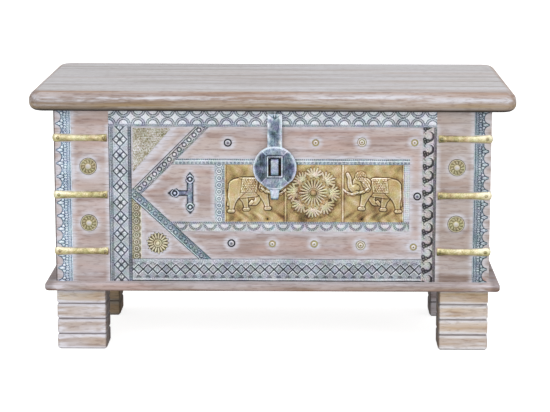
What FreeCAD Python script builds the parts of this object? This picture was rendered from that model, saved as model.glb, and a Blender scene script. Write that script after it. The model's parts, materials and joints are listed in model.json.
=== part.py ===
import FreeCAD, Part
import math
import os

# Low storage chest with a hinged bullnose lid, a plinth board, four grooved
# block legs and a brass and tin covered front closed by a hanging hasp.
# X runs along the chest, the front faces -Y, Z is up and the floor is at zero.

V = FreeCAD.Vector
X_AXIS = V(1, 0, 0)
Y_AXIS = V(0, 1, 0)
Z_AXIS = V(0, 0, 1)
OUT = V(0, -1, 0)

# Running clearances and the overrun of cuts
fit_clearance = 0.1
pin_clearance = 0.05
strip_gap = 0.3
cut_overrun = 5.0

# Lid
lid_length = 900.0
lid_depth = 450.0
lid_thick = 38.0
lid_corner_radius = 30.0
lid_top_round = 19.0
lid_bottom_round = 14.0
lid_front_overhang = 22.0
lid_back_overhang = 58.0
lid_side_overhang = 45.0
batten_width = 50.0
batten_thick = 18.0
batten_ease = 4.5
batten_end_gap = 8.0
batten_wall_gap = 80.0

# Chest body
body_height = 323.0
wall_thick = 20.0
stile_width = 101.0
stile_edge_round = 4.0
panel_recess = 2.0

# Plinth board under the body
base_thick = 15.0
base_overhang = 20.0
base_corner_round = 8.0
base_nose_round = 5.0

# Legs, each a laminated block cut into slabs by grooves
leg_width = 93.0
leg_depth = 70.0
leg_slab_height = 29.25
leg_slab_count = 4
leg_groove_depth = 3.5
leg_edge_round = 5.0
back_leg_inset = 46.0

# Embossed tin strips and brass sheet on the front
tin_thick = 1.0
brass_sheet_thick = 1.2
tile_rim_width = 2.5
tile_rim_height = 1.0
top_border_height = 30.0
left_border_width = 42.0
right_border_width = 26.0
bottom_border_height = 43.0
column_strip_width = 28.0
column_scallop_pitch = 25.0
column_scallop_depth = 9.5
column_point_width = 4.0

# Row of three brass tiles and the tin strips that frame it
lotus_width_share = 0.3203
tile_height = 108.0
arrow_field_width = 173.0
tile_row_right_gap = 23.5
lower_band_share = 0.4667
frame_top_height = 11.0
frame_bottom_height = 18.5
frame_left_width = 19.0
frame_right_width = 11.0

# Arrow of two slanting strips, with the brass pieces behind it
upper_strip_width = 18.5
lower_strip_width = 16.5
arrow_tip_drop = 2.0
arrow_tip_half_height = 8.0
upper_strip_angle = 45.0
lower_strip_angle = 43.0
corner_sheet_width = 71.0
corner_sheet_height = 82.0
corner_sheet_gap = 3.0
ring_strip_width = 18.0
sunburst_radius = 21.5
sunburst_thick = 3.0
sunburst_petal_count = 17

# Column rosettes
rosette_radius = 16.0
rosette_thick = 2.5
rosette_petal_count = 12
rosette_from_edge = 63.0
rosette_boss_radius = 4.0
rosette_boss_height = 3.0
petal_depth_share = 0.12

# Brass corner straps
strap_length = 98.0
strap_corner_width = 15.5
strap_corner_height = 3.0
strap_middle_width = 12.0
strap_middle_height = 4.5
strap_end_width = 14.5
strap_end_height = 2.5
strap_lift_shares = [0.178, 0.5093, 0.8406]
strap_middle_start_share = 0.3
strap_middle_end_share = 0.82
strap_nail_radius = 2.6
strap_nail_proud = 1.2
strap_nail_end_inset = 6.0
strap_nail_corner_inset = 4.0

# Nails on the front
iron_nail_radius = 7.5
brass_nail_radius = 6.5
double_nail_radius = 9.0
nail_rim_height = 1.2
nail_dome_height = 3.2
nail_dome_share = 0.6
nail_middle_share = 0.76
dome_facets = 3
edge_iron_nail_inset = 9.0
edge_iron_nail_drop = 5.0
edge_brass_nail_inset = 15.0

# T-shaped iron strap
t_bar_width = 12.0
t_bar_height = 38.0
t_arm_length = 15.0
t_arm_width = 10.0
t_tip_length = 21.0
t_tip_width = 17.0
t_strap_thick = 2.0
t_strap_from_row = 64.5
t_nail_radius = 3.6
t_nail_height = 2.2
t_nail_share = 0.35

# Hasp, its wire eye and the padlock staple
hasp_from_lotus = 20.0
hasp_stand_off = 5.5
hasp_thick = 3.0
hasp_strap_width = 27.0
hasp_disc_radius = 40.5
hasp_point_drop = 43.0
hasp_point_angle = 35.0
hasp_tab_top_width = 17.5
hasp_tab_tip_width = 13.0
hasp_tab_length = 17.0
hasp_facet_height = 3.0
hasp_slot_width = 24.0
hasp_slot_lift = 2.5
slot_end_clearance = 1.5
slot_below_tile_top = 2.0
hasp_frame_width = 2.5
hasp_frame_height = 1.0
hasp_axis_drop = 6.5
hasp_bar_radius = 2.0
eye_wire_radius = 1.1
eye_ring_radius = 4.2
eye_stem_radius = 2.0
eye_hole_radius = 2.3
eye_hole_drop = 4.1
staple_band_width = 13.5
staple_height = 32.0
staple_band_thick = 2.5
staple_proud = 22.3
staple_bend_radius = 8.0

# Hinges
hinge_from_side = 135.0
hinge_width = 60.0
hinge_leaf_length = 38.0
hinge_leaf_thick = 2.5
hinge_barrel_radius = 5.0
hinge_pin_radius = 2.4
hinge_pin_head_radius = 3.6
hinge_pin_head_length = 1.2
hinge_barrel_gap = 1.0
knuckle_gap = 0.5
middle_knuckle_share = 0.4
hinge_screw_radius = 3.6
hinge_screw_height = 1.4
hinge_screw_inset = 12.0

# Places worked out from the sizes above
half_lid = lid_length / 2
half_body = half_lid - lid_side_overhang
y_lid_front = -lid_depth / 2
y_front = y_lid_front + lid_front_overhang
y_back = y_lid_front + lid_depth - lid_back_overhang
y_panel = y_front + panel_recess
y_inner = y_front + wall_thick
leg_height = leg_slab_height * leg_slab_count
z_floor = leg_height + base_thick
z_rim = z_floor + body_height
panel_half = half_body - stile_width
field_left = -panel_half + left_border_width
field_right = panel_half - right_border_width
field_bottom = z_floor + bottom_border_height
field_top = z_rim - top_border_height
free_height = field_top - field_bottom - frame_bottom_height - tile_height - frame_top_height
tile_bottom = field_bottom + free_height * lower_band_share + frame_bottom_height
tile_top = tile_bottom + tile_height
z_row = (tile_bottom + tile_top) / 2
tile_left = field_left + arrow_field_width
tile_right = field_right - tile_row_right_gap - frame_right_width
row_width = tile_right - tile_left
lotus_left = tile_left + row_width * (1 - lotus_width_share) / 2
lotus_right = tile_right - row_width * (1 - lotus_width_share) / 2
z_straps = [z_floor + body_height * share for share in strap_lift_shares]
z_rosettes = [(low + high) / 2 for low, high in zip(z_straps, z_straps[1:])]
x_hasp = lotus_left - hasp_from_lotus
y_hasp_back = y_panel - hasp_stand_off
y_hasp_axis = y_hasp_back - hasp_thick / 2
z_hasp_axis = z_rim - hasp_axis_drop
z_slot = tile_top - slot_below_tile_top
z_hasp_disc = z_slot - hasp_slot_lift
slot_height = staple_height + 2 * slot_end_clearance
x_hinge = half_body - hinge_from_side
y_hinge_axis = y_back + hinge_barrel_radius + hinge_barrel_gap
z_hinge_axis = z_rim - hinge_barrel_radius - hinge_barrel_gap


def block(x1, x2, y1, y2, z1, z2):
    return Part.makeBox(x2 - x1, y2 - y1, z2 - z1, V(x1, y1, z1))


def upright_edges(shape):
    return [e for e in shape.Edges
            if abs(e.BoundBox.ZLength - shape.BoundBox.ZLength) < shape.BoundBox.ZLength * 1e-6]


def level_edges(shape, z):
    tolerance = shape.BoundBox.ZLength * 1e-6
    return [e for e in shape.Edges
            if abs(e.BoundBox.ZMin - z) < tolerance and abs(e.BoundBox.ZMax - z) < tolerance]


def front_plate(points, y_seat, thick):
    """Sheet cut to an outline of (x, z) points, lying on y_seat and facing the front."""
    corners = [V(x, y_seat, z) for x, z in points]
    face = Part.Face(Part.makePolygon(corners + corners[:1]))
    return face.extrude(OUT * thick)


def front_rect(x1, x2, z1, z2, y_seat, thick):
    return block(x1, x2, y_seat - thick, y_seat, z1, z2)


def turned(profile, x, y_seat, z, direction=OUT):
    """Round piece from a profile of (radius, height) points, standing on y_seat."""
    points = [V(radius, 0, height) for radius, height in profile]
    solid = Part.Face(Part.makePolygon(points + points[:1])).revolve(V(0, 0, 0), Z_AXIS, 360)
    solid.Placement = FreeCAD.Placement(V(x, y_seat, z), FreeCAD.Rotation(Z_AXIS, direction))
    return solid


def domed(radius, base, rise):
    """Profile points of a hammered dome in three facets, from its foot to its crown."""
    places = []
    for i in range(dome_facets + 1):
        angle = math.pi / 2 * i / dome_facets
        places.append((radius * math.cos(angle), base + rise * math.sin(angle)))
    return places[:-1] + [(0, base + rise)]


def dome(radius, height, x, y_seat, z, direction=OUT):
    return turned([(0, 0)] + domed(radius, 0, height), x, y_seat, z, direction)


def stepped_nail(radius, x, z, steps):
    """Nail head with a flat rim, one step more for a double ring, and a dome in the middle."""
    middle = radius * nail_middle_share
    profile = [(0, 0), (radius, 0), (radius, nail_rim_height)]
    if steps > 1:
        profile += [(middle, nail_rim_height), (middle, nail_rim_height * steps)]
    base = nail_rim_height * steps
    profile += domed(radius * nail_dome_share, base, nail_dome_height - nail_rim_height)
    return turned(profile, x, y_panel, z)


def scalloped_disc(radius, count, thick, x, y_seat, z):
    """Flat round plate whose edge is a ring of rounded petals."""
    inner = radius * (1 - petal_depth_share)
    arcs = []
    for i in range(count):
        a, b = 2 * math.pi * i / count, 2 * math.pi * (i + 1) / count
        places = [(inner, a), (radius, (a + b) / 2), (inner, b)]
        ends = [V(x + r * math.cos(t), y_seat, z + r * math.sin(t)) for r, t in places]
        arcs.append(Part.Arc(*ends).toShape())
    return Part.Face(Part.Wire(arcs)).extrude(OUT * thick)


def line_meet(p, angle_p, q, angle_q):
    """Where two lines meet, each given by a point (x, z) and its angle in degrees."""
    ux, uz = math.cos(math.radians(angle_p)), math.sin(math.radians(angle_p))
    wx, wz = math.cos(math.radians(angle_q)), math.sin(math.radians(angle_q))
    t = ((q[0] - p[0]) * wz - (q[1] - p[1]) * wx) / (ux * wz - uz * wx)
    return p[0] + ux * t, p[1] + uz * t


# Wooden carcase

def make_base_board():
    board = block(-half_body - base_overhang, half_body + base_overhang,
                  y_front - base_overhang, y_back + base_overhang, leg_height, z_floor)
    board = board.makeFillet(base_corner_round, upright_edges(board))
    return board.makeFillet(base_nose_round, level_edges(board, z_floor) + level_edges(board, leg_height))


def make_stile(side):
    outer, inner = side * half_body, side * panel_half
    stile = block(min(outer, inner), max(outer, inner), y_front, y_inner, z_floor, z_rim)
    corner = [e for e in upright_edges(stile) if abs(e.CenterOfMass.x - outer) < fit_clearance
              and e.CenterOfMass.y < y_front + fit_clearance]
    return stile.makeFillet(stile_edge_round, corner)


def staple_slots(y1, y2):
    """Room for the two legs of the padlock staple through whatever lies between y1 and y2."""
    half = staple_band_width / 2 + fit_clearance
    slots = []
    for sign in (-1, 1):
        outer = z_slot + sign * (staple_height / 2 + fit_clearance)
        inner = z_slot + sign * (staple_height / 2 - staple_band_thick - fit_clearance)
        slots.append(block(x_hasp - half, x_hasp + half, y1, y2,
                           min(outer, inner), max(outer, inner)))
    return Part.makeCompound(slots)


def make_front_panel():
    panel = block(-panel_half, panel_half, y_panel, y_inner, z_floor, z_rim)
    return panel.cut(staple_slots(y_panel - cut_overrun, y_inner + cut_overrun))


def make_side_panel(side):
    outer, inner = side * half_body, side * (half_body - wall_thick)
    return block(min(outer, inner), max(outer, inner), y_inner, y_back - wall_thick, z_floor, z_rim)


def make_back_panel():
    return block(-half_body, half_body, y_back - wall_thick, y_back, z_floor, z_rim)


def make_leg(side, back):
    """Block leg of equal slabs with all edges eased, so that a V-groove runs round at each joint."""
    y1 = y_back - back_leg_inset - leg_depth if back else y_front
    x1 = side * half_body if side < 0 else half_body - leg_width
    slabs = []
    for i in range(leg_slab_count):
        z1 = i * leg_slab_height
        slab = block(x1, x1 + leg_width, y1, y1 + leg_depth, z1, z1 + leg_slab_height)
        slab = slab.makeFillet(leg_edge_round, upright_edges(slab))
        eased = level_edges(slab, z1)
        if i < leg_slab_count - 1:
            eased += level_edges(slab, z1 + leg_slab_height)
        slabs.append(slab.makeChamfer(leg_groove_depth, eased))
    return slabs[0].multiFuse(slabs[1:])


def make_lid_board():
    lid = block(-half_lid, half_lid, y_lid_front, y_lid_front + lid_depth, z_rim, z_rim + lid_thick)
    lid = lid.makeFillet(lid_corner_radius, upright_edges(lid))
    lid = lid.makeFillet(lid_top_round, level_edges(lid, z_rim + lid_thick))
    return lid.makeFillet(lid_bottom_round, level_edges(lid, z_rim))


def make_lid_batten(side):
    outer = half_body - wall_thick - batten_wall_gap
    x1 = side * outer if side < 0 else outer - batten_width
    batten = block(x1, x1 + batten_width, y_inner + batten_end_gap,
                   y_back - wall_thick - batten_end_gap, z_rim - batten_thick, z_rim)
    return batten.makeChamfer(batten_ease, level_edges(batten, z_rim - batten_thick))


# Embossed tin on the front

def make_column_strip(side):
    """Strip on the corner stile with a hollow-scalloped outer edge, in four lengths between the straps."""
    outer = half_body - stile_edge_round
    inner = outer - column_strip_width
    notch = outer - column_scallop_depth
    count = round(body_height / column_scallop_pitch)
    pitch = body_height / count
    places = [V(side * inner, y_front, z_rim), V(side * inner, y_front, z_floor), V(side * outer, y_front, z_floor)]
    edges = []
    for i in range(count):
        z1 = z_floor + i * pitch
        z2 = z1 + column_point_width / 2
        z3 = z1 + pitch - column_point_width / 2
        edges.append(Part.makeLine(places[-1], V(side * outer, y_front, z2)))
        arc = [(outer, z2), (notch, z1 + pitch / 2), (outer, z3)]
        edges.append(Part.Arc(*[V(side * x, y_front, z) for x, z in arc]).toShape())
        places.append(V(side * outer, y_front, z3))
    edges.append(Part.makeLine(places[-1], V(side * outer, y_front, z_rim)))
    edges.append(Part.makeLine(V(side * outer, y_front, z_rim), places[0]))
    edges += Part.makePolygon(places[:3]).Edges
    strip = Part.Face(Part.Wire(edges)).extrude(OUT * tin_thick)
    half = strap_corner_width / 2 + strip_gap
    for z in z_straps:
        strip = strip.cut(block(-half_body - cut_overrun, half_body + cut_overrun,
                                y_front - tin_thick, y_front, z - half, z + half))
    return strip


def make_top_border():
    return front_rect(-panel_half, panel_half, field_top, z_rim, y_panel, tin_thick)


def make_left_border():
    return front_rect(-panel_half, field_left, z_floor, field_top, y_panel, tin_thick)


def make_bottom_border():
    return front_rect(field_left, field_right, z_floor, field_bottom, y_panel, tin_thick)


def make_right_border():
    return front_rect(field_right, panel_half, z_floor, field_top, y_panel, tin_thick)


# Slanting strips of the arrow: each edge is a line of one point and one angle
arrow_tip = z_row - arrow_tip_drop
upper_run = upper_strip_width / math.sin(math.radians(upper_strip_angle))
lower_run = lower_strip_width / math.sin(math.radians(lower_strip_angle))
upper_outer = (field_left, arrow_tip + arrow_tip_half_height)
upper_inner = (field_left + upper_run, upper_outer[1])
lower_outer = (field_left, arrow_tip - arrow_tip_half_height)
lower_inner = (field_left + lower_run, lower_outer[1])


def on_upper(point, z):
    return line_meet(point, upper_strip_angle, (0, z), 0)


def on_lower(point, z):
    return line_meet(point, -lower_strip_angle, (0, z), 0)


def make_upper_diagonal():
    start = line_meet(upper_outer, upper_strip_angle, lower_inner, -lower_strip_angle)
    end = line_meet(upper_inner, upper_strip_angle, lower_inner, -lower_strip_angle)
    points = [start, on_upper(upper_outer, field_top), on_upper(upper_inner, field_top), end]
    return front_plate(points, y_panel, tin_thick)


def make_lower_diagonal():
    start = line_meet(upper_outer, upper_strip_angle, lower_inner, -lower_strip_angle)
    feet = [on_lower(edge, field_bottom) for edge in (lower_inner, lower_outer)]
    return front_plate([lower_outer, upper_outer, start] + feet, y_panel, tin_thick)


def make_frame_top():
    z1, z2 = tile_top, tile_top + frame_top_height
    x2 = tile_right + frame_right_width
    points = [on_upper(upper_inner, z1), (x2, z1), (x2, z2), on_upper(upper_inner, z2)]
    strip = front_plate(points, y_panel, tin_thick)
    return strip.cut(staple_slots(y_panel - cut_overrun, y_panel))


def make_frame_bottom():
    z1, z2 = tile_bottom - frame_bottom_height, tile_bottom
    x2 = tile_right + frame_right_width
    points = [on_lower(lower_inner, z1), (x2, z1), (x2, z2), on_lower(lower_inner, z2)]
    return front_plate(points, y_panel, tin_thick)


def make_frame_left():
    return front_rect(tile_left - frame_left_width, tile_left, tile_bottom, tile_top, y_panel, tin_thick)


def make_frame_right():
    return front_rect(tile_right, tile_right + frame_right_width, tile_bottom, tile_top, y_panel, tin_thick)


# Brass sheet on the front

def make_tile(x1, x2):
    """Square of brass sheet with a raised rim round its embossed field."""
    sheet = front_rect(x1, x2, tile_bottom, tile_top, y_panel, brass_sheet_thick + tile_rim_height)
    field = front_rect(x1 + tile_rim_width, x2 - tile_rim_width, tile_bottom + tile_rim_width,
                       tile_top - tile_rim_width, y_panel - brass_sheet_thick, tile_rim_height + cut_overrun)
    return sheet.cut(field).cut(staple_slots(y_panel - cut_overrun, y_panel))


def make_corner_sheet():
    x1 = field_left + corner_sheet_gap
    z2 = field_top - corner_sheet_gap
    points = [(x1, z2), (x1, z2 - corner_sheet_height), (x1 + corner_sheet_width, z2)]
    return front_plate(points, y_panel, brass_sheet_thick)


def make_ring_strip():
    """Upright brass strip whose top is cut along the slanting tin strip."""
    x1, x2 = field_left, field_left + ring_strip_width
    slant = (lower_outer[0], lower_outer[1] - strip_gap)
    tops = [line_meet(slant, -lower_strip_angle, (x, 0), 90) for x in (x2, x1)]
    return front_plate([(x1, field_bottom), (x2, field_bottom)] + tops, y_panel, brass_sheet_thick)


def sunburst_centre():
    """Middle of the bare triangle between the ring strip, the border and the slanting strip."""
    x1 = field_left + ring_strip_width
    rise = line_meet(lower_outer, -lower_strip_angle, (x1, 0), 90)[1] - field_bottom
    run = rise / math.tan(math.radians(lower_strip_angle))
    inward = (rise + run - math.hypot(rise, run)) / 2
    return x1 + inward, field_bottom + inward


def make_sunburst():
    x, z = sunburst_centre()
    disc = scalloped_disc(sunburst_radius, sunburst_petal_count, sunburst_thick, x, y_panel, z)
    boss = dome(rosette_boss_radius, rosette_boss_height, x, y_panel - sunburst_thick, z)
    return disc.fuse(boss)


def make_rosette(side, z):
    x = side * (half_body - rosette_from_edge)
    disc = scalloped_disc(rosette_radius, rosette_petal_count, rosette_thick, x, y_front, z)
    boss = dome(rosette_boss_radius, rosette_boss_height, x, y_front - rosette_thick, z)
    return disc.fuse(boss)


# Brass straps that fold round the front corners

def strap_section(place, along, width, height):
    points = [place(along, 0, -width / 2), place(along, height, 0), place(along, 0, width / 2)]
    return Part.Wire([Part.Arc(*points).toShape(), Part.makeLine(points[2], points[0])])


def strap_nails(side, z):
    """Nails through both ends of a strap and beside the corner, standing on the wood."""
    nails = []
    run = strap_length - stile_edge_round
    for inset, height in ((strap_nail_corner_inset, strap_corner_height),
                          (run - strap_nail_end_inset, strap_end_height)):
        profile = [(0, 0), (strap_nail_radius, 0)] + domed(strap_nail_radius, height, strap_nail_proud)
        nails.append(turned(profile, side * (half_body - stile_edge_round - inset), y_front, z))
        nails.append(turned(profile, side * half_body, y_front + stile_edge_round + inset, z, X_AXIS * side))
    return nails


def make_strap(side, z):
    """Half-round brass strap, wide at the corner and at both ends, bent round the stile."""
    corner_x = side * (half_body - stile_edge_round)
    corner_y = y_front + stile_edge_round

    def on_front(along, out, up):
        return V(corner_x - side * along, y_front - out, z + up)

    def on_flank(along, out, up):
        return V(side * (half_body + out), corner_y + along, z + up)

    run = strap_length - stile_edge_round
    stations = [(0, strap_corner_width, strap_corner_height),
                (run * strap_middle_start_share, strap_middle_width, strap_middle_height),
                (run * strap_middle_end_share, strap_middle_width, strap_middle_height),
                (run, strap_end_width, strap_end_height)]
    legs = []
    for place in (on_front, on_flank):
        legs.append(Part.makeLoft([strap_section(place, *station) for station in stations], True, True))
    bend = Part.Face(strap_section(on_front, *stations[0]))
    bend = bend.revolve(V(corner_x, corner_y, z), Z_AXIS, side * 90)
    strap = bend.multiFuse(legs)
    for nail in strap_nails(side, z):
        strap = strap.cut(nail)
    return strap


def make_strap_nails():
    nails = []
    for side in (-1, 1):
        for z in z_straps:
            nails += strap_nails(side, z)
    return Part.makeCompound(nails)


# Nails on the front panel, in the bare bands above and below the tile row: each has its
# share of the row's width and its share of the height of the band it stands in
upper_iron_shares, lower_iron_shares = [(0.018, 0.50)], [(0.036, 0.57)]
upper_brass_shares, lower_brass_shares = [(0.507, 0.51)], [(0.266, 0.55), (0.501, 0.55)]
upper_double_shares, lower_double_shares = [(0.765, 0.53)], [(0.762, 0.51)]
upper_edge_share, lower_edge_share = 0.52, 0.45


def upper_band(share):
    low = tile_top + frame_top_height
    return low + (field_top - low) * share


def lower_band(share):
    return field_bottom + (tile_bottom - frame_bottom_height - field_bottom) * share


def band_places(upper_shares, lower_shares):
    places = [(tile_left + row_width * across, upper_band(up)) for across, up in upper_shares]
    return places + [(tile_left + row_width * across, lower_band(up)) for across, up in lower_shares]


def make_nails(places, radius, steps):
    return Part.makeCompound([stepped_nail(radius, x, z, steps) for x, z in places])


def make_iron_nails():
    edge = (field_right - edge_iron_nail_inset, z_row - edge_iron_nail_drop)
    return make_nails(band_places(upper_iron_shares, lower_iron_shares) + [edge], iron_nail_radius, 1)


def make_brass_nails():
    x = field_right - edge_brass_nail_inset
    edge = [(x, upper_band(upper_edge_share)), (x, lower_band(lower_edge_share))]
    return make_nails(band_places(upper_brass_shares, lower_brass_shares) + edge, brass_nail_radius, 1)


def make_double_nails():
    return make_nails(band_places(upper_double_shares, lower_double_shares), double_nail_radius, 2)


# T-shaped iron strap

t_tip_shares = [(0.30, 0.0), (0.50, 0.16), (0.46, 0.34), (0.34, 0.40), (0.42, 0.56), (0.0, 1.0)]


def t_tip_outline(x, z, ux, uz):
    """Arrow tip with two barbs, starting at (x, z) and pointing along (ux, uz)."""
    half = [(across * t_tip_width, along * t_tip_length) for across, along in t_tip_shares]
    whole = half + [(-across, along) for across, along in reversed(half[:-1])]
    return [(x + ux * along + uz * across, z + uz * along - ux * across) for across, along in whole]


def make_t_strap():
    x, z = tile_left - t_strap_from_row, z_row
    half_bar, half_high, half_arm = t_bar_width / 2, t_bar_height / 2, t_arm_width / 2
    x_end = x - half_bar - t_arm_length
    bar = front_rect(x - half_bar, x + half_bar, z - half_high, z + half_high, y_panel, t_strap_thick)
    pieces = [front_rect(x_end, x, z - half_arm, z + half_arm, y_panel, t_strap_thick)]
    for tip in ((x, z + half_high, 0, 1), (x, z - half_high, 0, -1), (x_end, z, -1, 0)):
        pieces.append(front_plate(t_tip_outline(*tip), y_panel, t_strap_thick))
    return bar.multiFuse(pieces)


def make_t_strap_nails():
    x, z = tile_left - t_strap_from_row, z_row
    into_tip = t_tip_length * t_nail_share
    up = t_bar_height / 2 + into_tip
    across = t_bar_width / 2 + t_arm_length + into_tip
    nails = []
    for nail_x, nail_z in ((x, z + up), (x, z - up), (x - across, z)):
        nails.append(dome(t_nail_radius, t_nail_height, nail_x, y_panel - t_strap_thick, nail_z))
    return Part.makeCompound(nails)


# Hasp that hangs in a wire eye under the lid and drops over the staple

def hasp_outline(y):
    """Strap, round plate drawn down to a point, and lifting tab, as one closed wire.

    The strap ends at the middle of the round bar that its top edge is rolled into."""
    top = z_hasp_axis
    half_strap = hasp_strap_width / 2
    shoulder = z_hasp_disc + math.sqrt(hasp_disc_radius ** 2 - half_strap ** 2)
    side_drop = hasp_disc_radius * math.sin(math.radians(hasp_point_angle))
    side_out = hasp_disc_radius * math.cos(math.radians(hasp_point_angle))
    neck = z_hasp_disc - hasp_point_drop
    tip = neck - hasp_tab_length
    half_neck, half_tip = hasp_tab_top_width / 2, hasp_tab_tip_width / 2

    def half(sign):
        def at(x, z):
            return V(x_hasp + sign * x, y, z)
        start, low = at(half_strap, shoulder), at(side_out, z_hasp_disc - side_drop)
        return [Part.makeLine(at(half_strap, top), start),
                Part.Arc(start, at(hasp_disc_radius, z_hasp_disc), low).toShape(),
                Part.makeLine(low, at(half_neck, neck)),
                Part.makeLine(at(half_neck, neck), at(half_tip, tip))]

    left, right = half(-1), half(1)
    lid_end = Part.makeLine(left[0].Vertexes[0].Point, right[0].Vertexes[0].Point)
    tab_end = Part.makeLine(left[-1].Vertexes[-1].Point, right[-1].Vertexes[-1].Point)
    return Part.Wire(Part.__sortEdges__(left + right + [lid_end, tab_end]))


def slot_block(grow, y1, y2):
    half_x, half_z = hasp_slot_width / 2 + grow, slot_height / 2 + grow
    return block(x_hasp - half_x, x_hasp + half_x, y1, y2, z_slot - half_z, z_slot + half_z)


def facet_pyramid(y_seat):
    """Four flat facets that rise from the rim of the plate to the frame of the slot."""
    def ring(grow, y):
        half_x, half_z = hasp_slot_width / 2 + grow, slot_height / 2 + grow
        corners = [V(x_hasp + sx * half_x, y, z_slot + sz * half_z)
                   for sx, sz in ((-1, -1), (1, -1), (1, 1), (-1, 1))]
        return Part.makePolygon(corners + corners[:1])
    foot = ring(hasp_disc_radius - hasp_slot_width / 2, y_seat)
    return Part.makeLoft([foot, ring(hasp_frame_width, y_seat - hasp_facet_height)], True, True)


def make_hasp():
    y_plate = y_hasp_back - hasp_thick
    plate = Part.Face(hasp_outline(y_hasp_back)).extrude(OUT * hasp_thick)
    disc = Part.makeCylinder(hasp_disc_radius - hasp_frame_width, hasp_facet_height + hasp_thick,
                             V(x_hasp, y_hasp_back, z_hasp_disc), OUT)
    dished = facet_pyramid(y_plate).common(disc)
    frame = slot_block(hasp_frame_width, y_plate - hasp_facet_height - hasp_frame_height, y_plate)
    bar = Part.makeCylinder(hasp_bar_radius, hasp_strap_width,
                            V(x_hasp - hasp_strap_width / 2, y_hasp_axis, z_hasp_axis), X_AXIS)
    solid = plate.multiFuse([dished, frame, bar])
    hollow = facet_pyramid(y_hasp_back).common(disc)
    solid = solid.cut(hollow)
    solid = solid.cut(slot_block(0, y_plate - hasp_thick - cut_overrun, y_hasp_back + cut_overrun))
    hole = Part.makeCylinder(eye_hole_radius, hasp_thick + 2 * cut_overrun,
                             V(x_hasp, y_hasp_back + cut_overrun, z_hasp_axis - eye_hole_drop), OUT)
    return solid.cut(hole)


def make_hasp_eye():
    """Wire eye driven into the lid, closed round the bar at the top of the hasp."""
    ring = Part.makeTorus(eye_ring_radius, eye_wire_radius, V(x_hasp, y_hasp_axis, z_hasp_axis), X_AXIS)
    foot = z_hasp_axis + eye_ring_radius
    stem = Part.makeCylinder(eye_stem_radius, z_rim - foot, V(x_hasp, y_hasp_axis, foot), Z_AXIS)
    return ring.fuse(stem)


def make_staple():
    """Broad band bent into an arch, its legs driven through the front panel."""
    def arch(shrink, y_crown, y_end):
        half_x, half_z = staple_band_width / 2, staple_height / 2 - shrink
        body = block(x_hasp - half_x, x_hasp + half_x, y_crown, y_end,
                     z_slot - half_z, z_slot + half_z)
        bends = [e for e in body.Edges if abs(e.BoundBox.XLength - staple_band_width) < pin_clearance
                 and abs(e.CenterOfMass.y - y_crown) < pin_clearance]
        return body.makeFillet(staple_bend_radius - shrink, bends)

    y_crown = y_panel - staple_proud
    outer = arch(0, y_crown, y_inner)
    return outer.cut(arch(staple_band_thick, y_crown + staple_band_thick, y_inner + cut_overrun))


# Butt hinges behind the back panel

def hinge_spans(side):
    """Ranges in x of the two outer knuckles and of the middle one."""
    x1 = side * x_hinge - hinge_width / 2
    x2 = x1 + hinge_width
    centre = (x1 + x2) / 2
    middle = hinge_width * middle_knuckle_share / 2
    outer = [(x1, centre - middle - knuckle_gap), (centre + middle + knuckle_gap, x2)]
    return outer, (centre - middle, centre + middle)


def knuckle(x1, x2):
    return Part.makeCylinder(hinge_barrel_radius, x2 - x1, V(x1, y_hinge_axis, z_hinge_axis), X_AXIS)


def pin_bore(side):
    x1 = side * x_hinge - hinge_width / 2
    return Part.makeCylinder(hinge_pin_radius + pin_clearance, hinge_width + 2 * cut_overrun,
                             V(x1 - cut_overrun, y_hinge_axis, z_hinge_axis), X_AXIS)


def make_body_leaf(side):
    outer, middle = hinge_spans(side)
    y2 = y_back + hinge_leaf_thick
    z2 = z_hinge_axis - hinge_barrel_radius - knuckle_gap
    leaf = block(outer[0][0], outer[1][1], y_back, y2, z2 - hinge_leaf_length, z2)
    pieces = []
    for x1, x2 in outer:
        pieces += [knuckle(x1, x2), block(x1, x2, y_back, y2, z2, z_hinge_axis)]
    return leaf.multiFuse(pieces).cut(pin_bore(side))


def make_lid_leaf(side):
    outer, (x1, x2) = hinge_spans(side)
    z1 = z_rim - hinge_leaf_thick
    y1 = y_hinge_axis + hinge_barrel_radius + knuckle_gap
    leaf = block(outer[0][0], outer[1][1], y1, y1 + hinge_leaf_length, z1, z_rim)
    pieces = [knuckle(x1, x2), block(x1, x2, y_hinge_axis, y1, z1, z_rim)]
    return leaf.multiFuse(pieces).cut(pin_bore(side))


def make_hinge_pin(side):
    outer, middle = hinge_spans(side)
    x1, x2 = outer[0][0], outer[1][1]
    pin = Part.makeCylinder(hinge_pin_radius, x2 - x1, V(x1, y_hinge_axis, z_hinge_axis), X_AXIS)
    heads = []
    for x in (x1 - hinge_pin_head_length, x2):
        place = V(x, y_hinge_axis, z_hinge_axis)
        heads.append(Part.makeCylinder(hinge_pin_head_radius, hinge_pin_head_length, place, X_AXIS))
    return pin.multiFuse(heads)


def screw_columns():
    reach = hinge_width / 2 - hinge_screw_inset
    return [side * x_hinge + across * reach for side in (-1, 1) for across in (-1, 1)]


def make_body_screws():
    screws = []
    y_seat = y_back + hinge_leaf_thick
    z2 = z_hinge_axis - hinge_barrel_radius - knuckle_gap
    for x in screw_columns():
        for z in (z2 - hinge_screw_inset, z2 - hinge_leaf_length + hinge_screw_inset):
            screws.append(dome(hinge_screw_radius, hinge_screw_height, x, y_seat, z, Y_AXIS))
    return Part.makeCompound(screws)


def make_lid_screws():
    screws = []
    z_seat = z_rim - hinge_leaf_thick
    y1 = y_hinge_axis + hinge_barrel_radius + knuckle_gap
    for x in screw_columns():
        for y in (y1 + hinge_screw_inset, y1 + hinge_leaf_length - hinge_screw_inset):
            screws.append(dome(hinge_screw_radius, hinge_screw_height, x, y, z_seat, -Z_AXIS))
    return Part.makeCompound(screws)


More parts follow.
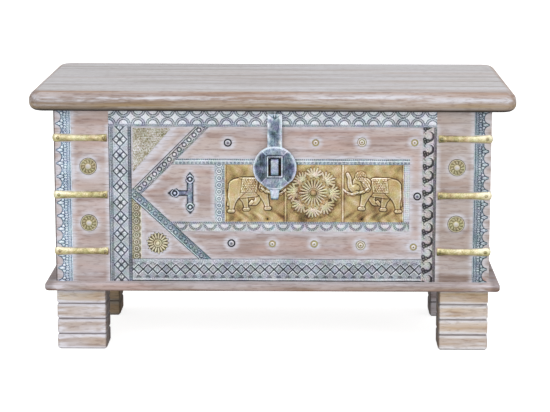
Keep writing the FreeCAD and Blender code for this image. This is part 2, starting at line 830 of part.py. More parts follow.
def all_parts():
    parts = {
        "base_board": make_base_board(),
        "front_panel": make_front_panel(),
        "back_panel": make_back_panel(),
        "lid_board": make_lid_board(),
        "top_border_strip": make_top_border(),
        "left_border_strip": make_left_border(),
        "bottom_border_strip": make_bottom_border(),
        "right_border_strip": make_right_border(),
        "upper_diagonal_strip": make_upper_diagonal(),
        "lower_diagonal_strip": make_lower_diagonal(),
        "tile_frame_top": make_frame_top(),
        "tile_frame_bottom": make_frame_bottom(),
        "tile_frame_left": make_frame_left(),
        "tile_frame_right": make_frame_right(),
        "left_elephant_tile": make_tile(tile_left, lotus_left),
        "lotus_tile": make_tile(lotus_left, lotus_right),
        "right_elephant_tile": make_tile(lotus_right, tile_right),
        "brass_corner_sheet": make_corner_sheet(),
        "brass_ring_strip": make_ring_strip(),
        "sunburst_boss": make_sunburst(),
        "strap_nails": make_strap_nails(),
        "iron_ring_nails": make_iron_nails(),
        "brass_nails": make_brass_nails(),
        "double_ring_nails": make_double_nails(),
        "iron_t_strap": make_t_strap(),
        "t_strap_nails": make_t_strap_nails(),
        "hasp": make_hasp(),
        "hasp_eye": make_hasp_eye(),
        "padlock_staple": make_staple(),
        "hinge_body_screws": make_body_screws(),
        "hinge_lid_screws": make_lid_screws(),
    }
    for name, side in (("left", -1), ("right", 1)):
        parts[name + "_stile"] = make_stile(side)
        parts[name + "_panel"] = make_side_panel(side)
        parts["front_" + name + "_leg"] = make_leg(side, False)
        parts["back_" + name + "_leg"] = make_leg(side, True)
        parts[name + "_lid_batten"] = make_lid_batten(side)
        parts[name + "_column_strip"] = make_column_strip(side)
        parts[name + "_hinge_body_leaf"] = make_body_leaf(side)
        parts[name + "_hinge_lid_leaf"] = make_lid_leaf(side)
        parts[name + "_hinge_pin"] = make_hinge_pin(side)
        for place, z in zip(("lower", "middle", "upper"), z_straps):
            parts[name + "_" + place + "_strap"] = make_strap(side, z)
        for place, z in zip(("lower", "upper"), z_rosettes):
            parts[name + "_" + place + "_rosette"] = make_rosette(side, z)
    return parts


os.makedirs("parts", exist_ok=True)
for node, shape in all_parts().items():
    shape.exportStep("parts/" + node + ".step")
    print(node, "solids", len(shape.Solids), "valid", shape.isValid(), "volume", round(shape.Volume))
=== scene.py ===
import json
import math

import bmesh
import bpy
import numpy as np
from mathutils import Euler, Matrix, Vector, kdtree, noise
from mathutils.geometry import convex_hull_2d

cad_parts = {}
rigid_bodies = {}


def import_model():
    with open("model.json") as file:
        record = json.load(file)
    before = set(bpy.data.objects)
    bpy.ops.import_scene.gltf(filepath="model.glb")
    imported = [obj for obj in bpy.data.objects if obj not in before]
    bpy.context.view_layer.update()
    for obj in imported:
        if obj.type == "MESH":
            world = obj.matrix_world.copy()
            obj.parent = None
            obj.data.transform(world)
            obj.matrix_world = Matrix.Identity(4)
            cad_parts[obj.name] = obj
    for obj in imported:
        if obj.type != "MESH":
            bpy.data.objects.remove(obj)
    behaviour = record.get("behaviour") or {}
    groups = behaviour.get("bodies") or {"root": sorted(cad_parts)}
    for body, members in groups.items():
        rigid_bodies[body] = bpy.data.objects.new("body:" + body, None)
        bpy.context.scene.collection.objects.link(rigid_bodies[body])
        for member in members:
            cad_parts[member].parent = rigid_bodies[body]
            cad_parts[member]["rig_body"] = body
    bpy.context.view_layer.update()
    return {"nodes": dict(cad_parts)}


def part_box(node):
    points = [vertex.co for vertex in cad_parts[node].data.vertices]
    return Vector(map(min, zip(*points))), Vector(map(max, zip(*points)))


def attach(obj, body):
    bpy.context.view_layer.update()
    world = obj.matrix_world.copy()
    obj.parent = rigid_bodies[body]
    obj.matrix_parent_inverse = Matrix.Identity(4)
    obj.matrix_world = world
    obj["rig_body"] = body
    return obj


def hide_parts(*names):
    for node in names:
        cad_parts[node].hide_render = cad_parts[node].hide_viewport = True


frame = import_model()


# ---- The view of the photograph
# A level product shot with a long lens from a little above the lid, squarely in front of the chest. Its
# uprights were kept parallel in the picture, so the lens is shifted a little to one side and down.

MM = 0.001


def new_object(name, data):
    """A new object in the scene."""
    item = bpy.data.objects.new(name, data)
    bpy.context.collection.objects.link(item)
    return item


product_camera = bpy.data.cameras.new("product_camera")
product_camera.lens = 123.3
product_camera.sensor_width = 36
product_camera.shift_x = -0.062
product_camera.shift_y = -0.069
product_camera.clip_end = 60
viewpoint = new_object("viewpoint", product_camera)
viewpoint.location = (65.3 * MM, -3642.2 * MM, 958.06 * MM)
viewpoint.rotation_euler = (math.pi / 2 - 0.1755, -0.0038, 0)
bpy.context.scene.camera = viewpoint
bpy.context.scene.view_settings.view_transform = "Standard"


# ---- The studio: white floor and soft boxes
# The chest stands on a white floor that runs out to white all round. Large soft boxes above and in front
# light it nearly without shadows.

def linear(hex_colour):
    """An sRGB hex colour as the linear colour that Blender takes."""
    shares = [int(hex_colour[i:i + 2], 16) / 255 for i in (0, 2, 4)]
    return [c / 12.92 if c <= 0.04045 else ((c + 0.055) / 1.055) ** 2.4 for c in shares] + [1.0]


def add(tree, kind, inputs=None, stops=None, **settings):
    """Adds a node with its settings, the values or links of its inputs, and the stops of its colour ramp."""
    node = tree.nodes.new(kind)
    for name, value in settings.items():
        setattr(node, name, value)
    for socket, value in (inputs or {}).items():
        if isinstance(value, bpy.types.NodeSocket):
            tree.links.new(value, node.inputs[socket])
        else:
            node.inputs[socket].default_value = value
    for i, (place, colour) in enumerate(stops or []):
        stop = node.color_ramp.elements[i] if i < 2 else node.color_ramp.elements.new(place)
        stop.position, stop.color = place, linear(colour)
    return node


floor_half = 14.0
floor_mesh = bpy.data.meshes.new("studio_floor")
floor_mesh.from_pydata([(x * floor_half, y * floor_half, -0.4 * MM)
                        for x, y in ((-1, -1), (1, -1), (1, 1), (-1, 1))], [], [(0, 1, 2, 3)])
studio_floor = new_object("studio_floor", floor_mesh)

floor_lift = 0.83
# White paper floor: matt, lit by the room, and lifted to white where the camera looks at it, so that only the
# shadow under the legs and the plinth is left
paper = bpy.data.materials.new("white paper floor")
paper.use_nodes = True
tree = paper.node_tree
tree.nodes.clear()
ray = add(tree, "ShaderNodeLightPath")
matt = add(tree, "ShaderNodeBsdfDiffuse", {"Color": linear("e4e4e3")})
lift = add(tree, "ShaderNodeMath", {0: ray.outputs["Is Camera Ray"], 1: floor_lift}, operation="MULTIPLY")
glow = add(tree, "ShaderNodeEmission", {"Color": linear("ffffff"), "Strength": lift.outputs[0]})
both = add(tree, "ShaderNodeAddShader", {0: matt.outputs[0], 1: glow.outputs[0]})
add(tree, "ShaderNodeOutputMaterial", {"Surface": both.outputs[0]})
floor_mesh.materials.append(paper)

room_level = 0.62
room = bpy.data.worlds.new("white room")
bpy.context.scene.world = room
room.use_nodes = True
tree = room.node_tree
tree.nodes.clear()
ray = add(tree, "ShaderNodeLightPath")
seen = add(tree, "ShaderNodeMath", {0: ray.outputs["Is Camera Ray"], 1: ray.outputs["Is Glossy Ray"]},
           operation="MAXIMUM")
seen = add(tree, "ShaderNodeMath", {0: seen.outputs[0], 1: ray.outputs["Is Transmission Ray"]},
           operation="MAXIMUM")
level = add(tree, "ShaderNodeMapRange", {0: seen.outputs[0], 3: room_level, 4: 1.0})
white = add(tree, "ShaderNodeBackground", {"Color": linear("ffffff"), "Strength": level.outputs[0]})
add(tree, "ShaderNodeOutputWorld", {"Surface": white.outputs[0]})

soft_boxes = {  # place and aim in metres, size in metres, power in watts
    "soft_box_above": ((0.7, -0.9, 2.6), (0.1, 0, 0.3), 1.8, 24),
    "soft_box_front": ((-1.1, -3.0, 1.7), (0, -0.2, 0.28), 2.0, 38),
    "soft_box_side": ((2.2, -2.2, 1.3), (0, -0.2, 0.28), 1.5, 12),
}
for name, (place, aim, size, power) in soft_boxes.items():
    lamp = bpy.data.lights.new(name, "AREA")
    lamp.size = size
    lamp.energy = power
    box = new_object(name, lamp)
    box.location = place
    box.rotation_euler = (Vector(aim) - Vector(place)).to_track_quat("-Z", "Y").to_euler()


# ---- Plinth board
# A plain hardwood board with a rounded nose that carries the body on its legs. It is glued and dowelled under
# the body, stained brown, and brushed with thin limewash that stays in the grain and on the top edge.

def new_material(name):
    """A material with its tree, its shader, and the place of each point on the object in metres."""
    material = bpy.data.materials.new(name)
    material.use_nodes = True
    tree = material.node_tree
    return material, tree, tree.nodes["Principled BSDF"], add(tree, "ShaderNodeTexCoord").outputs["Object"]


def limed_wood(name, grain, shift, heights, stain, wash, cover, blotch=0.5, rose="c2a49e", level=1.0,
               stretch=1.0, painted_shade=(), limed=(), groove_pitch=None):
    """Mango wood under limewash: brown-pink fibres with soft pale streaks along the grain, matt and open.

    grain is the axis of the fibres, heights are (mm above the floor, colour) of the wood below the wash,
    stain the filter that darkens it in streaks, and wash the lime. cover is how much lime lies on the
    surface, blotch how much more in patches, level how much wider the streaks are on a level face, and
    stretch how much longer those over 40 mm are. painted_shade is (colour, (axis, unshaded at, shaded at),
    ...) of painted shade that darkens the wood from one place to another, and limed (axis, place, reach,
    share) of thick broken lime, in mm from the middle. Grooves are dark with limed edges; the same dark line
    at the foot and at the top of a leg is painted contact shade. The attribute "wash" adds lime, and "bare"
    takes it off where hands wore it away."""
    material, tree, surface, here = new_material(name)

    def fibres(length, width, detail, offset):
        """Noise drawn out along the grain, with a size in millimetres."""
        size = [1 / (width * MM), 1 / (width * level * MM), 1 / (width * MM)]
        size["XYZ".index(grain)] = 1 / (length * (stretch if length > 40 else 1) * MM)
        place = add(tree, "ShaderNodeMapping", {"Vector": here, "Scale": size,
                                                "Location": (shift + offset, shift * 1.7, offset * 2.3)})
        return add(tree, "ShaderNodeTexNoise", {"Vector": place.outputs[0], "Scale": 1.0, "Detail": detail,
                                                "Roughness": 0.55}).outputs[0]

    def between(value, low, high, start=0.0, end=1.0):
        return add(tree, "ShaderNodeMapRange", {0: value, 1: low, 2: high, 3: start, 4: end},
                   interpolation_type="SMOOTHSTEP").outputs[0]

    def sums(kind, first, second, clamp=False):
        return add(tree, "ShaderNodeMath", {0: first, 1: second}, operation=kind, use_clamp=clamp).outputs[0]

    def mixed(share, first, second, blend="MIX"):
        node = add(tree, "ShaderNodeMix", {0: share}, data_type="RGBA", blend_type=blend)
        for socket, value in ((6, first), (7, second)):
            if isinstance(value, bpy.types.NodeSocket):
                tree.links.new(value, node.inputs[socket])
            else:
                node.inputs[socket].default_value = linear(value)
        return node.outputs[2]

    low, high = heights[0][0], heights[-1][0] + (len(heights) == 1)
    axes = add(tree, "ShaderNodeSeparateXYZ", {0: here})
    up = add(tree, "ShaderNodeMapRange", {0: axes.outputs["Z"], 1: low * MM, 2: high * MM}).outputs[0]
    wood = add(tree, "ShaderNodeValToRGB", {0: up},
               stops=[((z - low) / (high - low), colour) for z, colour in heights]).outputs[0]
    # Growth bands 22 mm wide, rosy patches 50 mm, brushed lime 7 mm, thick lime 34 mm, dark vessels drawn 5
    # mm and pores 3 mm so that they show
    bands = fibres(260, 22, 3.0, 1.0)
    patches = fibres(130, 50, 2.0, 29.0)
    brushed = fibres(80, 7.0, 5.0, 7.0)
    spots = fibres(110, 34, 4.0, 19.0)
    vessels = fibres(120, 5.0, 2.0, 23.0)
    pores = fibres(16, 3.2, 2.0, 13.0)
    flecks = fibres(24, 3.6, 4.0, 37.0)
    wood = mixed(between(bands, 0.44, 0.66), wood, stain, "MULTIPLY")
    wood = mixed(between(patches, 0.48, 0.68, 0.0, 0.45), wood, rose)
    lime = sums("MULTIPLY", between(brushed, 0.34, 0.74, 0.0, cover), between(spots, 0.30, 0.60, 0.45, 1.0))
    lime = sums("ADD", lime, between(spots, 0.50, 0.66, 0.0, blotch))
    thick = add(tree, "ShaderNodeAttribute", attribute_name="wash").outputs["Fac"]
    lime = sums("ADD", lime, sums("MULTIPLY", thick, between(brushed, 0.3, 0.6, 0.6, 1.1)), True)
    for axis, place, reach, share in limed:
        away = sums("ABSOLUTE", sums("SUBTRACT", sums("ABSOLUTE", axes.outputs[axis], 0.0), place * MM), 0.0)
        away = between(away, 0.15 * reach * MM, reach * MM, 1.0, 0.0)
        broken = between(sums("ADD", brushed, flecks), 0.88, 1.2, 0.0, share)
        lime = sums("ADD", lime, sums("MULTIPLY", away, broken), True)
    if groove_pitch:
        groove = sums("PINGPONG", axes.outputs["Z"], groove_pitch / 2 * MM)
        lime = sums("ADD", lime, between(groove, 2.0 * MM, 8.5 * MM, 0.9, 0.0), True)
    worn = add(tree, "ShaderNodeAttribute", attribute_name="bare").outputs["Fac"]
    worn = sums("MULTIPLY", worn, between(brushed, 0.3, 0.6, 0.4, 1.0), True)
    colour = mixed(lime, wood, wash)
    colour = mixed(worn, colour, "a8745a")
    colour = mixed(between(vessels, 0.56, 0.70, 0.0, 0.45), colour, "c3b7b2", "MULTIPLY")
    colour = mixed(between(pores, 0.50, 0.68, 0.0, 0.55), colour, "cfc6c2", "MULTIPLY")
    # Painted shade: each zone darkens the colour from where it is unshaded to where it is shaded
    for shade, *ways in painted_shade:
        share = 1.0
        for axis, unshaded_at, shaded_at in ways:
            away = sums("ABSOLUTE", axes.outputs[axis], 0.0)
            share = sums("MULTIPLY", between(away, unshaded_at * MM, shaded_at * MM), share)
        colour = mixed(share, colour, shade, "MULTIPLY")
    # Dark joint lines between the slabs; at the foot and at the top of a leg the same dark line is painted
    # contact shade against the floor and the plinth
    if groove_pitch:
        colour = mixed(between(groove, 0.7 * MM, 1.9 * MM, 0.75, 0.0), colour, "857b77", "MULTIPLY")
    tree.links.new(colour, surface.inputs["Base Color"])
    tree.links.new(between(lime, 0.0, 1.0, 0.55, 0.8), surface.inputs["Roughness"])
    surface.inputs["Specular IOR Level"].default_value = 0.35
    bump = add(tree, "ShaderNodeBump",
               {"Height": sums("SUBTRACT", brushed, pores), "Strength": 0.35, "Distance": 0.5 * MM})
    tree.links.new(bump.outputs[0], surface.inputs["Normal"])
    return material


def finish_node(node, material):
    """Gives a CAD solid whose shape is right its finish."""
    slots = frame["nodes"][node].material_slots
    if not slots:
        frame["nodes"][node].data.materials.append(material)
    for slot in slots:
        slot.material = material


# Painted shade: the plinth darkens towards its ends, from 404 to 414 mm from the middle, where its top runs
# back along the sides, and along its lower edge from 119 mm down to 117 mm
plinth_wood = limed_wood("limed mango wood, plinth", "X", 3.0,
                         [(117, "6f4e38"), (120, "8a684f"), (123.5, "998678"), (131, "aaa2a6"),
                          (132, "b7b1b2")],
                         "cdb9ae", "c9c4ca", 0.45, 0.3, level=2.0, stretch=1.5,
                         painted_shade=[("d2cdcb", ("X", 404, 414)), ("9a8a80", ("Z", 119, 117))],
                         limed=[("X", 412, 70, 0.75)])
finish_node("base_board", plinth_wood)


# ---- Legs
# Each leg is four hardwood slabs glued on top of each other with a V-groove between them, planed flush and
# limed. The lime stays in the grooves and on their edges. Painted shade darkens the sides that face each
# other.

slab_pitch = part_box("front_left_leg")[1].z / MM / 4
# Painted shade on the sides of the legs that face each other, within 313 mm of the middle
shaded = [("aaa39e", ("X", 315.5, 313))]
# Material, start of the pattern, colours by height, stain, lime, cover, blotch, and what only this leg has
leg_finishes = {
    "front_left_leg": ("limed mango wood, left front leg", 11.0,
                       [(0, "b3a6a2"), (88, "bcab9e"), (100, "cfc1ad")],
                       "dfcfc2", "dbd9e0", 0.55, 0.4,
                       {"rose": "c4ad96", "limed": [("X", 312, 20, 0.8), ("X", 405, 26, 0.8)]}),
    "front_right_leg": ("limed mango wood, right front leg", 11.0,
                        [(0, "beb0a6"), (60, "c4ae96"), (117, "cbb490")],
                        "ddcfc2", "d9d6d8", 0.55, 0.35, {"rose": "c6ac8d"}),
    "back_left_leg": ("stained mango wood, back left leg", 12.0, [(0, "d8be9c"), (117, "ccac80")],
                      "d8ccb8", "c6bcae", 0.4, 0.1, {}),
    "back_right_leg": ("stained mango wood, back right leg", 14.0, [(0, "dcd3d7"), (117, "d0c9cc")],
                       "d6cecb", "dad7dc", 0.5, 0.3, {}),
}
for node, (name, shift, heights, stain, wash, cover, blotch, own) in leg_finishes.items():
    finish_node(node,
                limed_wood(name, "X", shift, heights, stain, wash, cover, blotch, groove_pitch=slab_pitch,
                           painted_shade=shaded, **own))


# ---- Sides and back of the body
# Plain boards between the corner stiles, glued and pegged, brushed with the same thin limewash.

side_wood = limed_wood("limed mango wood, sides", "Y", 23.0, [(132, "a99a92"), (455, "b0a29c")], "d2c3b8",
                       "c6c2c6", 0.5)
back_wood = limed_wood("limed mango wood, back", "X", 31.0, [(132, "a99a92"), (455, "ae9f97")], "d2c3b8",
                       "c2bdc0", 0.45)
for node, material in (("left_panel", side_wood), ("right_panel", side_wood), ("back_panel", back_wood)):
    finish_node(node, material)


# ---- Tin border along the top of the front
# Thin tin sheet, struck from behind over a wooden die with half rounds, diamonds and beaded lines, pinned to
# the board, and rubbed with lime that leaves the hollows dark and the raised places pale.

def geometry_tree(name, inputs):
    """An empty Geometry Nodes tree with its named inputs."""
    tree = bpy.data.node_groups.new(name, "GeometryNodeTree")
    tree.interface.new_socket("Geometry", in_out="OUTPUT", socket_type="NodeSocketGeometry")
    tree.interface.new_socket("Geometry", in_out="INPUT", socket_type="NodeSocketGeometry")
    for label, kind in inputs.items():
        tree.interface.new_socket(label, in_out="INPUT", socket_type="NodeSocket" + kind)
    return tree, add(tree, "NodeGroupInput").outputs


def worked(piece, tree, **values):
    """Runs a Geometry Nodes tree on a piece and keeps the result as its plain mesh."""
    modifier = piece.modifiers.new(tree.name, "NODES")
    modifier.node_group = tree
    for socket in tree.interface.items_tree:
        if socket.in_out == "INPUT" and socket.name in values:
            modifier[socket.identifier] = values[socket.name]
    graph = bpy.context.evaluated_depsgraph_get()
    graph.update()
    shape = bpy.data.meshes.new_from_object(piece.evaluated_get(graph))
    before = piece.data
    piece.modifiers.remove(modifier)
    piece.data = shape
    bpy.data.meshes.remove(before)
    return piece


strike_tree, given = geometry_tree("strikes of one die along a strip", {
    "Strikes": "Int", "Pitch": "Vector", "Unevenness": "Float", "Metal": "Material"})
line = add(strike_tree, "GeometryNodeMeshLine", {"Count": given["Strikes"], "Offset": given["Pitch"]})
struck = add(strike_tree, "GeometryNodeInstanceOnPoints",
             {"Points": line.outputs[0], "Instance": given["Geometry"]})
joined = add(strike_tree, "GeometryNodeRealizeInstances", {0: struck.outputs[0]})
welded = add(strike_tree, "GeometryNodeMergeByDistance",
             {"Geometry": joined.outputs[0], "Distance": 0.08 * MM})
wander = add(strike_tree, "ShaderNodeTexNoise", {"Scale": 28.0, "Detail": 2.0}, noise_dimensions="3D")
centred = add(strike_tree, "ShaderNodeVectorMath", {0: wander.outputs["Color"], 1: (0.5, 0.5, 0.5)},
              operation="SUBTRACT")
scaled = add(strike_tree, "ShaderNodeVectorMath", {0: centred.outputs[0], "Scale": given["Unevenness"]},
             operation="SCALE")
moved = add(strike_tree, "GeometryNodeSetPosition",
            {"Geometry": welded.outputs[0], "Offset": scaled.outputs[0]})
dressed = add(strike_tree, "GeometryNodeSetMaterial",
              {"Geometry": moved.outputs[0], "Material": given["Metal"]})
add(strike_tree, "NodeGroupOutput", {0: dressed.outputs[0]})


def mark(mesh, name, values):
    """Writes a value at each corner of a mesh for its material."""
    values = np.asarray(values).ravel().astype(np.float32)
    mesh.attributes.new(name, "FLOAT", "POINT").data.foreach_set("value", values)


def grid_piece(name, places, tone):
    """A piece whose mesh is a grid of places (columns, rows, 3) in millimetres, with a tone at each."""
    columns, rows = tone.shape
    number = np.arange(columns * rows).reshape(columns, rows)
    faces = np.stack([number[:-1, :-1], number[1:, :-1], number[1:, 1:], number[:-1, 1:]], -1).reshape(-1, 4)
    first, second = places[-1, 0] - places[0, 0], places[0, -1] - places[0, 0]
    if np.cross(first, second)[1] > 0:
        faces = faces[:, ::-1]
    mesh = bpy.data.meshes.new(name)
    mesh.from_pydata((places.reshape(-1, 3) * MM).tolist(), [], faces.tolist())
    mesh.polygons.foreach_set("use_smooth", np.ones(len(faces), bool))
    mark(mesh, "tone", tone)
    return new_object(name, mesh)


def box_mm(node):
    """The lowest and the highest corner of a CAD node in millimetres."""
    return [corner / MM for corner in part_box(node)]


def solids_of(node):
    """The places of the corners of each separate solid in a CAD node."""
    shape = bmesh.new()
    shape.from_mesh(frame["nodes"][node].data)
    bmesh.ops.remove_doubles(shape, verts=shape.verts, dist=0.001 * MM)
    left, solids = set(shape.verts), []
    while left:
        reached, solid = [left.pop()], []
        while reached:
            corner = reached.pop()
            solid.append(corner.co.copy())
            for edge in corner.link_edges:
                other = edge.other_vert(corner)
                if other in left:
                    left.discard(other)
                    reached.append(other)
        solids.append(solid)
    shape.free()
    return sorted(solids, key=lambda solid: tuple(sum(solid, Vector())))


def turn_back(sheet, seat, crisp=False):
    """Turns the open rim of a sheet back to the wood at seat and closes it behind."""
    rim = [edge for edge in sheet.edges if edge.is_boundary]
    if crisp:
        for edge in rim:
            edge.smooth = False
    for corner in bmesh.ops.extrude_edge_only(sheet, edges=rim)["geom"]:
        if isinstance(corner, bmesh.types.BMVert):
            corner.co.y = seat
    bmesh.ops.edgeloop_fill(sheet, edges=[edge for edge in sheet.edges if edge.is_boundary])
    bmesh.ops.recalc_face_normals(sheet, faces=sheet.faces)


def cut_to(piece, node, boxed=False):
    """Cuts a struck sheet to the front outline of its CAD node and turns its edge back to the wood."""
    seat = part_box(node)[1].y
    sheet, whole = bmesh.new(), bmesh.new()
    sheet.from_mesh(piece.data)
    for solid in solids_of(node):
        corners = [(place.x, place.z) for place in solid]
        if boxed:
            (x1, z1), (x2, z2) = np.min(corners, 0), np.max(corners, 0)
            corners = [(x1, z1), (x2, z1), (x2, z2), (x1, z2)]
        outline = [Vector(corners[i]) for i in convex_hull_2d(corners)]
        middle = sum(outline, Vector((0, 0))) / len(outline)
        part = sheet.copy()
        for p, q in zip(outline, outline[1:] + outline[:1]):
            out = Vector((q.y - p.y, p.x - q.x))
            if out.length < 0.3 * MM:
                continue
            if out.dot(middle - p) > 0:
                out.negate()
            bmesh.ops.bisect_plane(part, geom=part.verts[:] + part.edges[:] + part.faces[:], dist=1e-7,
                                   plane_co=(p.x, 0, p.y), plane_no=(out.x, 0, out.y), clear_outer=True)
        turn_back(part, seat, crisp=True)
        spare = bpy.data.meshes.new("spare")
        part.to_mesh(spare)
        whole.from_mesh(spare)
        bpy.data.meshes.remove(spare)
        part.free()
    whole.to_mesh(piece.data)
    sheet.free()
    whole.free()
    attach(piece, "chest")
    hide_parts(node)
    return piece


def struck_metal(name, stops, metallic, roughness, speckle=0.17, cloud=0.12, grain=2.0, tint=0.5):
    """Thin sheet struck over a die: the tone of the relief picks its colour, dark in hollows and pale on top.

    Fine speckle is the patina left by the hammer, drawn 2 mm wide so it shows, clouds 30 mm wide are the lime
    or polish that was rubbed on unevenly, and 12 mm tints are the green, pink and blue of old metal."""
    material, tree, surface, here = new_material(name)
    tone = add(tree, "ShaderNodeAttribute", attribute_name="tone").outputs["Fac"]
    for size, share, detail in ((grain, speckle, 1.0), (30, cloud, 3.0)):
        spots = add(tree, "ShaderNodeTexNoise", {"Vector": here, "Scale": 1 / (size * MM), "Detail": detail})
        spread = add(tree, "ShaderNodeMapRange", {0: spots.outputs[0], 1: 0.3, 2: 0.7, 3: -share, 4: share})
        tone = add(tree, "ShaderNodeMath", {0: tone, 1: spread.outputs[0]}, operation="ADD").outputs[0]
    colour = add(tree, "ShaderNodeValToRGB", {0: tone}, stops=stops)
    hues = add(tree, "ShaderNodeTexNoise", {"Vector": here, "Scale": 1 / (12 * MM), "Detail": 2.0})
    tinted = add(tree, "ShaderNodeMix", {0: tint, 6: colour.outputs[0], 7: hues.outputs["Color"]},
                 data_type="RGBA",
                 blend_type="SOFT_LIGHT")
    tree.links.new(tinted.outputs[2], surface.inputs["Base Color"])
    rough = add(tree, "ShaderNodeMapRange", {0: tone, 3: min(1, roughness + 0.2), 4: roughness})
    tree.links.new(rough.outputs[0], surface.inputs["Roughness"])
    surface.inputs["Metallic"].default_value = metallic
    bump = add(tree, "ShaderNodeBump", {"Height": spots.outputs[0], "Strength": 0.3, "Distance": 0.4 * MM})
    tree.links.new(bump.outputs[0], surface.inputs["Normal"])
    return material


def raised(distance, half):
    """Height of a rounded line or dome, from 1 in its middle to 0 at half its width."""
    return np.sqrt(np.clip(1 - (distance / half) ** 2, 0, 1))


def within(distance, edge=0.9):
    """1 where the distance to an outline is negative, 0 outside it, with a soft edge."""
    return np.clip(0.5 - distance / edge, 0, 1)


def over(ground, on, form):
    """The form where it lies on the ground, and the ground elsewhere."""
    return ground * (1 - on) + on * form


def beads(along, across, spacing, radius):
    """A row of small round beads."""
    return within(np.hypot((along + spacing / 2) % spacing - spacing / 2, across) - radius)


def bead_ring(du, dv, ring, spacing, radius):
    """Small round beads on a circle."""
    step = 2 * math.pi / round(2 * math.pi * ring / spacing)
    turn = (np.arctan2(dv, du) + step / 2) % step - step / 2
    return within(np.hypot(np.hypot(du, dv) - ring, turn * ring) - radius)


die_cell = 0.75


def strip(name, node, motif, pitch, strikes, start, along, width, metal, boxed=False, tilt=(0, 0)):
    """Strikes a die along a strip from its corner (x, z) start; width runs to the left of along."""
    across = (-along[1], along[0]) if tilt == (0, 0) else tilt
    columns = int(round(pitch / die_cell)) + 1
    widest = np.max(width(np.linspace(0, pitch, columns))) if callable(width) else width
    rows = int(round(widest / die_cell)) + 1
    u, share = np.meshgrid(np.linspace(0, pitch, columns), np.linspace(0, 1, rows), indexing="ij")
    v = share * (width(u) if callable(width) else width)
    height, tone = motif(u, v)
    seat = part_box(node)[1].y / MM - 0.5
    places = np.stack([start[0] + u * along[0] + v * across[0], seat - height,
                       start[1] + u * along[1] + v * across[1]], -1)
    piece = grid_piece(name, places, np.clip(tone, 0, 1))
    worked(piece, strike_tree, Strikes=strikes, Pitch=(pitch * along[0] * MM, 0, pitch * along[1] * MM),
           Unevenness=1.1 * MM, Metal=metal)
    cut_to(piece, node, boxed)
    return piece


pale_tin = struck_metal("limed tin, borders",
                        [(0.0, "31363f"), (0.3, "68707c"), (0.6, "a4abb5"), (1.0, "e2e6ec")],
                        0.3, 0.5, tint=0.35)
right, up = (1, 0), (0, 1)
border_pitch = 27.2


def half_rounds(u, v):
    """Half rounds from both edges, with diamonds left between them, above a beaded rail."""
    across = np.abs(u % border_pitch - border_pitch / 2)
    top, low = np.hypot(across, 31.0 - v), np.hypot(across, v - 4.0)
    near = np.where(v > 17.5, top + 0.2, low + 0.6)
    dots = np.maximum(bead_ring(across, 31.0 - v, 9.4, 3.1, 1.05),
                      bead_ring(across, 31.0 - v, 13.0, 3.1, 0.95))
    dots = np.where(v > 17.5, dots, np.maximum(bead_ring(across, v - 4.0, 8.8, 3.1, 1.05),
                                               bead_ring(across, v - 4.0, 12.4, 3.1, 0.95)))
    band = within(near - 13.4, 1.4) * (1 - within(near - 8.8, 1.4))
    tone = 0.88 - 0.14 * band - 0.66 * dots
    tone -= 0.34 * raised(near - 9.2, 0.9) + 0.30 * raised(near - 13.4, 0.9)
    height = 0.8 * raised(near, 9.0) + 0.6 * np.clip((near - 13.2) / 5, 0, 1) + 0.35 * band
    rail = within(v - 4.6)
    rows = beads(u + (v > 2.4) * 1.5, np.abs(v - 2.4) - 1.1, border_pitch / 9, 0.95)
    return over(height, rail, 0.5 + 0.4 * rows), over(tone, rail, 0.66 - 0.36 * rows)


strip("top_border_tin", "top_border_strip", half_rounds, border_pitch, 24,
      (-235 - 2.5 * border_pitch - border_pitch / 2, 425),
      right, 30, pale_tin)


# ---- Tin border at the left
# The same sheet, struck with one diamond under another. Each holds a cross of four leaves.

diamond_pitch = 29.7


def leaf_diamonds(u, v):
    """v runs from the stile: a beaded rail, diamonds with a four-leaved flower, and a second beaded rail."""
    du, dv = np.abs((u - 1.1 + diamond_pitch / 2) % diamond_pitch - diamond_pitch / 2), np.abs(v - 21.0)
    edge = (du / 14.3 + dv / 13.4 - 1) * 9.8
    crossing = np.abs(du / 14.3 - dv / 13.4) * 9.8
    round_off = np.hypot(du, dv)
    inner = within(edge + 0.6)
    leaf = inner * within(2.4 - round_off) * np.clip(crossing / 2.0 - 0.3, 0, 1) * within(edge + 2.0)
    tone = 0.63 - inner * 0.18 + 0.42 * leaf - 0.30 * leaf * raised(np.minimum(du, dv), 0.9)
    tone -= inner * 0.55 * raised(crossing, 1.1) + 0.70 * raised(edge, 1.2) - 0.16 * raised(edge - 1.5, 0.9)
    tone += 0.22 * inner * raised(edge + 1.6, 0.7) - 0.30 * raised(round_off - 2.0, 0.9)
    height = 0.3 + 0.5 * leaf + 0.4 * raised(edge + 1.6, 1.0) + 0.6 * raised(round_off, 2.0)
    for low, high, rows, ground in ((-1, 7.0, (4.6,), 0.62), (36.0, 43, (37.6, 40.2), 0.50)):
        rail = within(low - v) * within(v - high)
        dots = np.maximum.reduce([beads(u, v - row, diamond_pitch / 10, 1.05) for row in rows])
        tone, height = over(tone, rail, ground - 0.52 * dots), over(height, rail, 0.45 + 0.4 * dots)
    for line_at, width_of in ((0.5, 1.4), (7.0, 0.7), (36.0, 0.7), (41.6, 0.9)):
        tone -= 0.45 * raised(v - line_at, width_of)
    return height, tone


strip("left_border_tin", "left_border_strip", leaf_diamonds, diamond_pitch, 10, (-304, 132), up, 42, pale_tin,
      tilt=(1, 0))


# ---- Tin border along the bottom
# Two zigzags struck over each other make a row of diamonds, with small beaded triangles above and below.

lattice_pitch = 17.5
grey_tin = struck_metal("limed tin, bottom border",
                        [(0.0, "25282f"), (0.3, "666b74"), (0.6, "9da3ac"), (1.0, "e4e8ee")], 0.3, 0.5,
                        speckle=0.2, tint=0.35)


